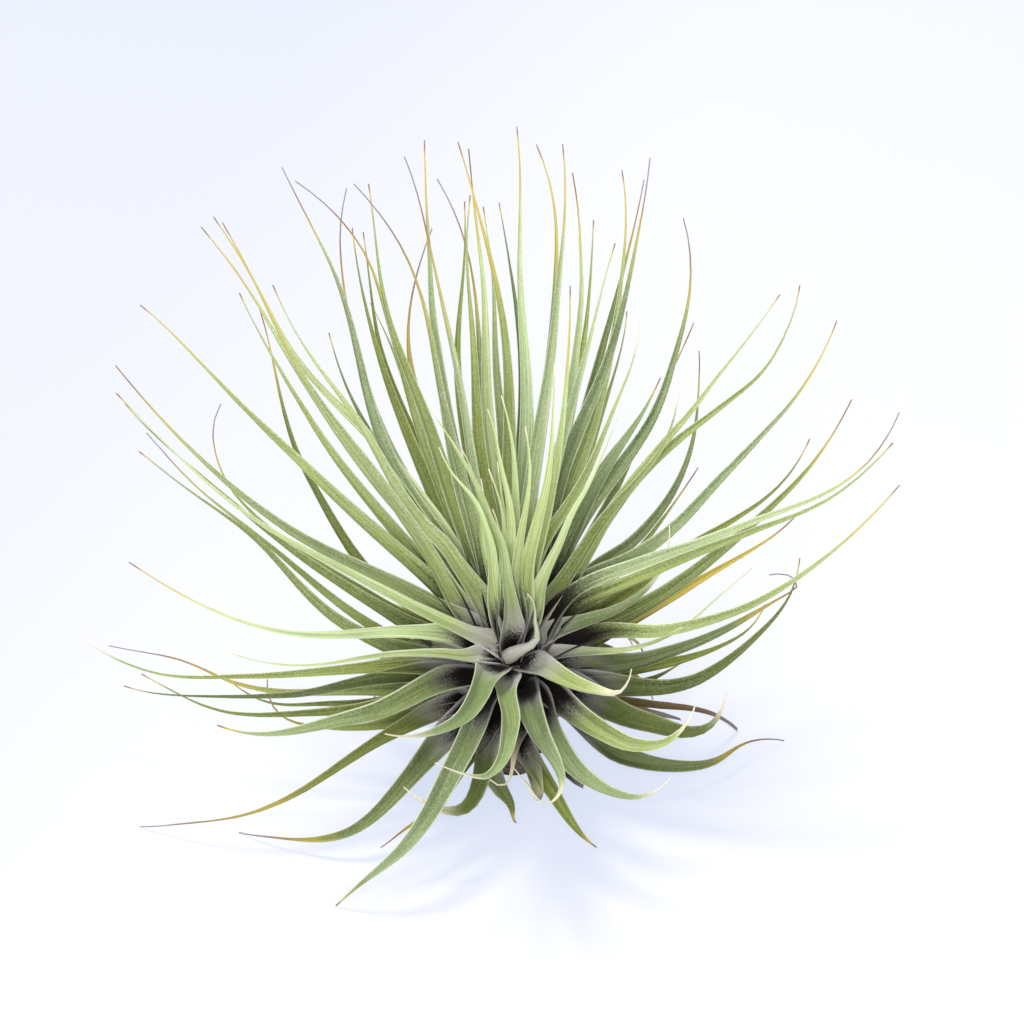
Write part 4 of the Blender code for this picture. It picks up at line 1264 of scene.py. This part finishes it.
# The middle leaves. The plant's full-grown leaves, the tall fan at the back and the wide spread to
# both sides, light green under a silvery bloom, with golden tips that end as fine as a hair.
LONG_GOLD = (36, 4, 1, 0)
MIDDLE_LEAVES = (
    (((-52, 111), (-42, 90), (-28, 45), (-12, 18)), 50, 4.2, FINE, HAIR),
    (((-49, 108), (-35, 93), (-28, 74), (-20, 48)), 56, 2.6, FINE, DRY),
    (((-37.5, 106), (-38.5, 92), (-31, 54)), 58, 2.8, FINE, DRY),
    (((-35.5, 107.5), (-25, 92), (-15, 55)), 44, 3.0, FINE, DRY),
    (((-33, 107), (-28.5, 80), (-18, 48)), 48, 4.4, FINE, GREEN),
    (((-70.5, 97.5), (-62, 87), (-50, 65), (-30, 38), (-13, 18)), 50, 4.6, FINE, GOLD),
    (
        ((-68, 99.5), (-60.5, 87), (-47, 65), (-30, 46), (-20.9, 34.8), (-14.1, 25.2), (-10.3, 18)),
        54, 3.9, FINE, GOLD,
    ),
    (
        ((-66.5, 98), (-58.5, 84), (-46, 61), (-28, 35), (-18, 20.4), (-15.2, 15), (-12.6, 10.6)),
        46, 4.0, FINE, LONG_GOLD,
    ),
    (((-61.5, 82.5), (-45, 51), (-25, 26), (-16, 15.5)), 58, 3.9, FINE, GREEN),
    (
        ((-54.5, 84), (-44.5, 66.5), (-36, 53.5), (-20.9, 30), (-15.7, 25), (-12.8, 20.2),
         (-9.5, 15.2), (-6.9, 10.3)),
        47, 4.2, FINE, GREEN,
    ),
    (((-25, 113), (-20, 100), (-14, 70)), 44, 2.8, FINE, DRY),
    (((-20, 117), (-18.5, 95), (-18, 75), (-13, 45)), 46, 4.4, FINE, GOLD),
    (((-18.7, 97), (-23.3, 74), (-19, 50)), 57, 3.9, FINE, DRY),
    (((-16.5, 108.5), (-11, 95), (-7, 60)), 52, 2.6, FINE, DRY),
    (((-12.5, 116.5), (-5, 92), (-1, 60)), 42, 4.2, FINE, LONG_GOLD),
    (((-10, 115), (-7.5, 97), (-6, 65)), 50, 4.2, FINE, ORANGE),
    (((-9.5, 104.5), (-9.5, 80), (-8, 55)), 44, 4.2, FINE, GREEN),
    (((-6, 102), (-4, 75), (-2, 50)), 56, 3.9, FINE, GREEN),
    (((0.8, 120), (1.8, 95), (3, 50)), 46, 4.6, FINE, GOLD),
    (((5.5, 116), (9.5, 99), (10, 80), (6, 50)), 52, 4.2, FINE, LONG_GOLD),
    (((11, 116), (12.3, 100), (11, 85), (6, 50)), 42, 4.4, FINE, GOLD),
    (((13.5, 109.5), (15.3, 92), (16, 80), (12, 52)), 55, 4.0, FINE, ORANGE),
    (((24.5, 110), (26, 92), (19, 55)), 57, 4.0, FINE, GOLD),
    (((31.3, 113), (29.5, 97), (22, 68), (12, 42)), 47, 4.6, FINE, HAIR),
    (((24, 93.5), (17, 70), (10, 42)), 41, 4.4, FINE, GREEN),
    (
        ((28.7, 76.5), (27.5, 68), (24.5, 58), (18.2, 43.4), (13.6, 35.3), (8.2, 26.6), (5.4, 20),
         (3.6, 15), (3.2, 10.8)),
        40, 3.7, FINE, PALE,
    ),
    (
        ((38.5, 99), (40.8, 83), (36.5, 65), (32.1, 54), (25.3, 43.4), (18.1, 33.6), (13, 25)),
        57, 4.6, FINE, HAIR,
    ),
    (((34, 63), (30, 56), (22, 42.5), (14, 28)), 52, 4.8, FULL, SCORCHED),
    (
        ((39, 63), (37.6, 55.5), (35.3, 49.5), (27.9, 38.7), (20.5, 29.5), (15.7, 22.5), (10.8, 15),
         (7.6, 10.2), (5.2, 6.8)),
        46, 4.2, FINE, PALE,
    ),
    (
        ((60.5, 82), (53, 71), (46.1, 61.7), (41.4, 55.3), (32.1, 44.7), (24.5, 35), (16.2, 20.4),
         (13.2, 15.2), (10.6, 10.4)),
        54, 3.7, FINE, GREEN,
    ),
    (
        ((65.5, 84), (63.5, 75), (57.5, 64.5), (47.8, 56.6), (38.1, 48.9), (29.1, 40), (22, 30.5),
         (14, 17)),
        59, 3.9, FINE, GREEN,
    ),
    (
        ((73.5, 76), (65, 59.5), (56.3, 48.9), (46.5, 38.3), (37.2, 28.6), (27.9, 22), (15, 15.5)),
        57, 4.2, FINE, GOLD,
    ),
    (
        ((88.5, 55), (82, 44.5), (73, 37.5), (56.3, 30.8), (42.7, 25), (30, 20.4), (14, 13.2)),
        56, 4.0, FINE, HAIR,
    ),
    (((87, 48), (73, 36), (55, 28), (40, 21.6), (26, 15.6), (15, 10.5)), 60, 3.9, FINE, GREEN),
    (
        ((36.2, 29.5), (35.6, 22.8), (33.2, 17.8), (25.7, 11.4), (16, 7.4), (11, 5.6), (7.5, 3.4)),
        50, 3.7, FINE, CREAM,
    ),
    (
        ((54.5, 20), (49, 15.2), (44.4, 10.7), (39.5, 6.2), (33, 2.9), (25, 1), (15, 0.4),
         (10.5, 0), (8, -1)),
        58, 2.7, SLIM, PALE,
    ),
    (
        ((88.5, 38.5), (75, 25), (56.3, 12), (44.8, 7.3), (34.2, 4.8), (20, 4.4)),
        60, 4.0, FINE, GOLD,
    ),
    (((-87.5, 20.5), (-70, 11), (-50, 5), (-20, 4.2), (-13.5, 3)), 60, 4.8, SLIM, GOLD),
    (
        ((-90.5, 65.5), (-75, 48), (-50, 28), (-20.9, 12.5), (-15, 8.9), (-9.5, 6)),
        56, 3.9, FINE, ORANGE,
    ),
    (((-85, 79), (-70, 66), (-52, 46.5), (-15, 12)), 54, 4.6, FINE, GOLD),
    (
        ((6.2, -33.9), (8.8, -34.4), (11.2, -31.5), (10.7, -28), (8.2, -22.8), (4.5, -15.6),
         (1.8, -8.5)),
        60, 5.8, FULL, CREAM,
    ),
    (
        ((42, -11), (39.5, -16.5), (35, -20.3), (28, -20.8), (21.2, -17.9), (14.5, -13.9),
         (9, -9.6)),
        72, 5.0, FULL, PALE,
    ),
    (
        ((36.3, -27.5), (33, -30.8), (29, -32.6), (22.2, -31.9), (15.2, -27.6), (9.9, -19.9),
         (5.8, -11)),
        74, 5.2, FULL, PALE,
    ),
    (
        ((-40, -57), (-32.5, -51.3), (-25.4, -44.6), (-18.4, -35.6), (-12.4, -25.3), (-9.2, -18),
         (-6.4, -10)),
        FLOOR, 5.2, FULL, GREEN,
    ),
    (((-67, -16), (-50, -18), (-35, -15), (-14, -7)), 70, 5.4, FULL, GREEN),
)
MIDDLE_SHADE_SHARE = 1.2
MIDDLE_SHEATHS = Ring(
    bottom=-9.8,
    top=-4.2,
    foot_radius=7.0,
    rim_radius=5.8,
    root_radius=4.8,
    root_lean=28,
)
MIDDLE_SEED = 13
GROWN_LEAF = {
    "deep": painted(46, 70, 14),
    "light": painted(228, 244, 184),
    "margin": painted(244, 248, 212),
    "bloom": 0.65,
    "sheath_reach": 22,
    "base_deep_and_shade": 0.25,
}
GROWN_SIZES = {
    "Root Channel": 0.9,
    "Sheath Spread": 1.8 * MM,
    "Sheath Length": 8 * MM,
    "Root Pinch": 0.8,
}

draw = random.Random(MIDDLE_SEED)
middle_leaves = listed_leaves(
    MIDDLE_SHEATHS, MIDDLE_LEAVES, draw, UPRIGHT_TONES, MIDDLE_SHADE_SHARE
)
ring_of_leaves(
    "middle_leaves_green", MIDDLE_SHEATHS, middle_leaves, leaf_finish("grown leaf", **GROWN_LEAF),
    GROWN_SIZES, "middle_leaves",
)


# The heart. The youngest leaves, short, bright and upright round the growing point, broad and
# silvery at the base where each wraps the next, with a few long ones that arch out over the rest.
BUD = (0, 0, 0, 3)
HEART_LEAVES = (
    (((-7, 40), (-4.3, 30.5), (-2, 21.5), (-1, 14.5), (-1.2, 6)), 12, 4.3, FINE, BUD),
    (((-4.7, 42.5), (-3.4, 37.5), (-2.5, 30.7), (-1.8, 22)), 20, 2.8, FINE, BUD),
    (((-11.4, 46.8), (-8.2, 36.6), (-7, 30.7), (-6, 21.6)), 26, 2.8, FINE, BUD),
    (((-4.3, 33.2), (-3.4, 28.9), (-2.7, 21)), 18, 2.2, FINE, BUD),
    (((-3.4, 43.9), (-2.3, 38.4), (-1.4, 32.5), (-0.8, 22)), 22, 2.6, FINE, BUD),
    (((-6.1, 55.7), (-3.6, 49.8), (-2, 43), (-0.9, 35.2), (-0.8, 24)), 24, 3.8, FINE, BUD),
    (((-2.3, 59), (-0.5, 48.9), (0.5, 39.8), (0.9, 30.7), (0.5, 20)), 30, 4.1, FINE, BUD),
    (((3.6, 52), (4.1, 44.3), (3.6, 38.9), (2.7, 32.5), (1.8, 24)), 22, 3.4, FINE, BUD),
    (((9.5, 66), (9.5, 49), (8.2, 39.8), (6.4, 33), (4, 23.9), (2.4, 14)), 28, 4.0, FINE, BUD),
    (
        ((-18.9, 56.1), (-13.2, 46.5), (-8.8, 38.9), (-5.8, 32.2), (-3.8, 26), (-2.6, 18)),
        28, 3.8, FINE, BUD,
    ),
    (
        ((-16.4, 47.3), (-13.4, 42), (-8.6, 35.2), (-6.8, 29.2), (-5.4, 24), (-4.9, 18), (-4.3, 12)),
        24, 4.0, FINE, BUD,
    ),
    (((13.7, 84), (13.4, 72), (8.5, 36)), 32, 3.4, FINE, GOLD),
    (
        ((24, 54), (20, 44.5), (16.8, 37.5), (14.1, 32.5), (11.4, 25.2), (8.9, 19.8), (7.2, 15.3),
         (6.4, 11)),
        30, 3.6, FINE, BUD,
    ),
    (
        ((26.9, -3.4), (26.2, -6.3), (24.2, -9), (19, -8.6), (12.5, -6.6), (8.4, -4.5), (4.6, -3.3)),
        52, 5.2, FULL, CREAM,
    ),
    (
        ((-90.5, 59), (-78, 47), (-55, 28.5), (-25, 11.6), (-14.1, 6.4), (-9, 3.8), (-4, 1.4)),
        50, 4.1, SLIM, GREEN,
    ),
    (
        ((-65, 1), (-50, -2), (-25.4, -0.4), (-15.4, -0.3), (-10.5, -1), (-6.5, -1.2)),
        54, 3.8, SLIM, BUD,
    ),
    (
        ((-17.3, -25), (-12.1, -26.8), (-5.8, -27.6), (-1.8, -23.9), (-0.7, -16.6), (-1.5, -11),
         (-1.8, -6.5)),
        54, 4.4, FULL, CREAM,
    ),
    (
        ((-29, -17.7), (-21, -19.1), (-13.8, -16.6), (-8.1, -10.6), (-6.6, -7.4), (-5, -4.8)),
        53, 4.8, FULL, CREAM,
    ),
)

# The youngest leaf of all, a small boat in the middle of the heart, from its root to its tip:
# millimetres across, up and toward the eye.
YOUNGEST_LEAF = (
    (-0.9, -1.8, 4),
    (1.8, 0.1, 8),
    (4.4, 1.7, 10),
    (6, 4, 11),
    (6, 6.5, 12),
    (5.2, 9.5, 13),
    (3.6, 14, 14),
)
YOUNGEST_WIDTH = 1.9
YOUNGEST_END = (1, 2.4)
YOUNGEST_TONE = 0.6
YOUNGEST_SHADE = 1
YOUNGEST_NECK = 2 * MM
HEART_TONES = (0.6, 1)
HEART_SHADE_SHARE = 0.9
HEART_SHEATHS = Ring(
    bottom=-3.9,
    top=-1.6,
    foot_radius=4.4,
    rim_radius=2.8,
    root_radius=2.2,
    root_lean=10,
)
HEART_SEED = 14
YOUNG_LEAF = {
    "deep": painted(70, 96, 20),
    "light": painted(236, 252, 186),
    "margin": painted(246, 252, 216),
    "bloom": 0.6,
    "sheath_reach": 21,
    "base_deep_and_shade": 0.1,
}
YOUNG_SIZES = {
    "Root Channel": 0.7,
    "Sheath Spread": 2.8 * MM,
    "Sheath Length": 6 * MM,
    "Root Pinch": 0.65,
}

draw = random.Random(HEART_SEED)
heart_leaves = listed_leaves(HEART_SHEATHS, HEART_LEAVES, draw, HEART_TONES, HEART_SHADE_SHARE)
points = [sight_point(across, up, toward * MM) for across, up, toward in YOUNGEST_LEAF]
facts = (YOUNGEST_WIDTH * MM, *YOUNGEST_END, YOUNGEST_TONE, YOUNGEST_SHADE, YOUNGEST_NECK, *BUD)
heart_leaves.append((leaf_line(points, points[1] - points[0], draw), facts))
ring_of_leaves(
    "heart_leaves_bright", HEART_SHEATHS, heart_leaves, leaf_finish("young leaf", **YOUNG_LEAF),
    YOUNG_SIZES, "heart_leaves",
)
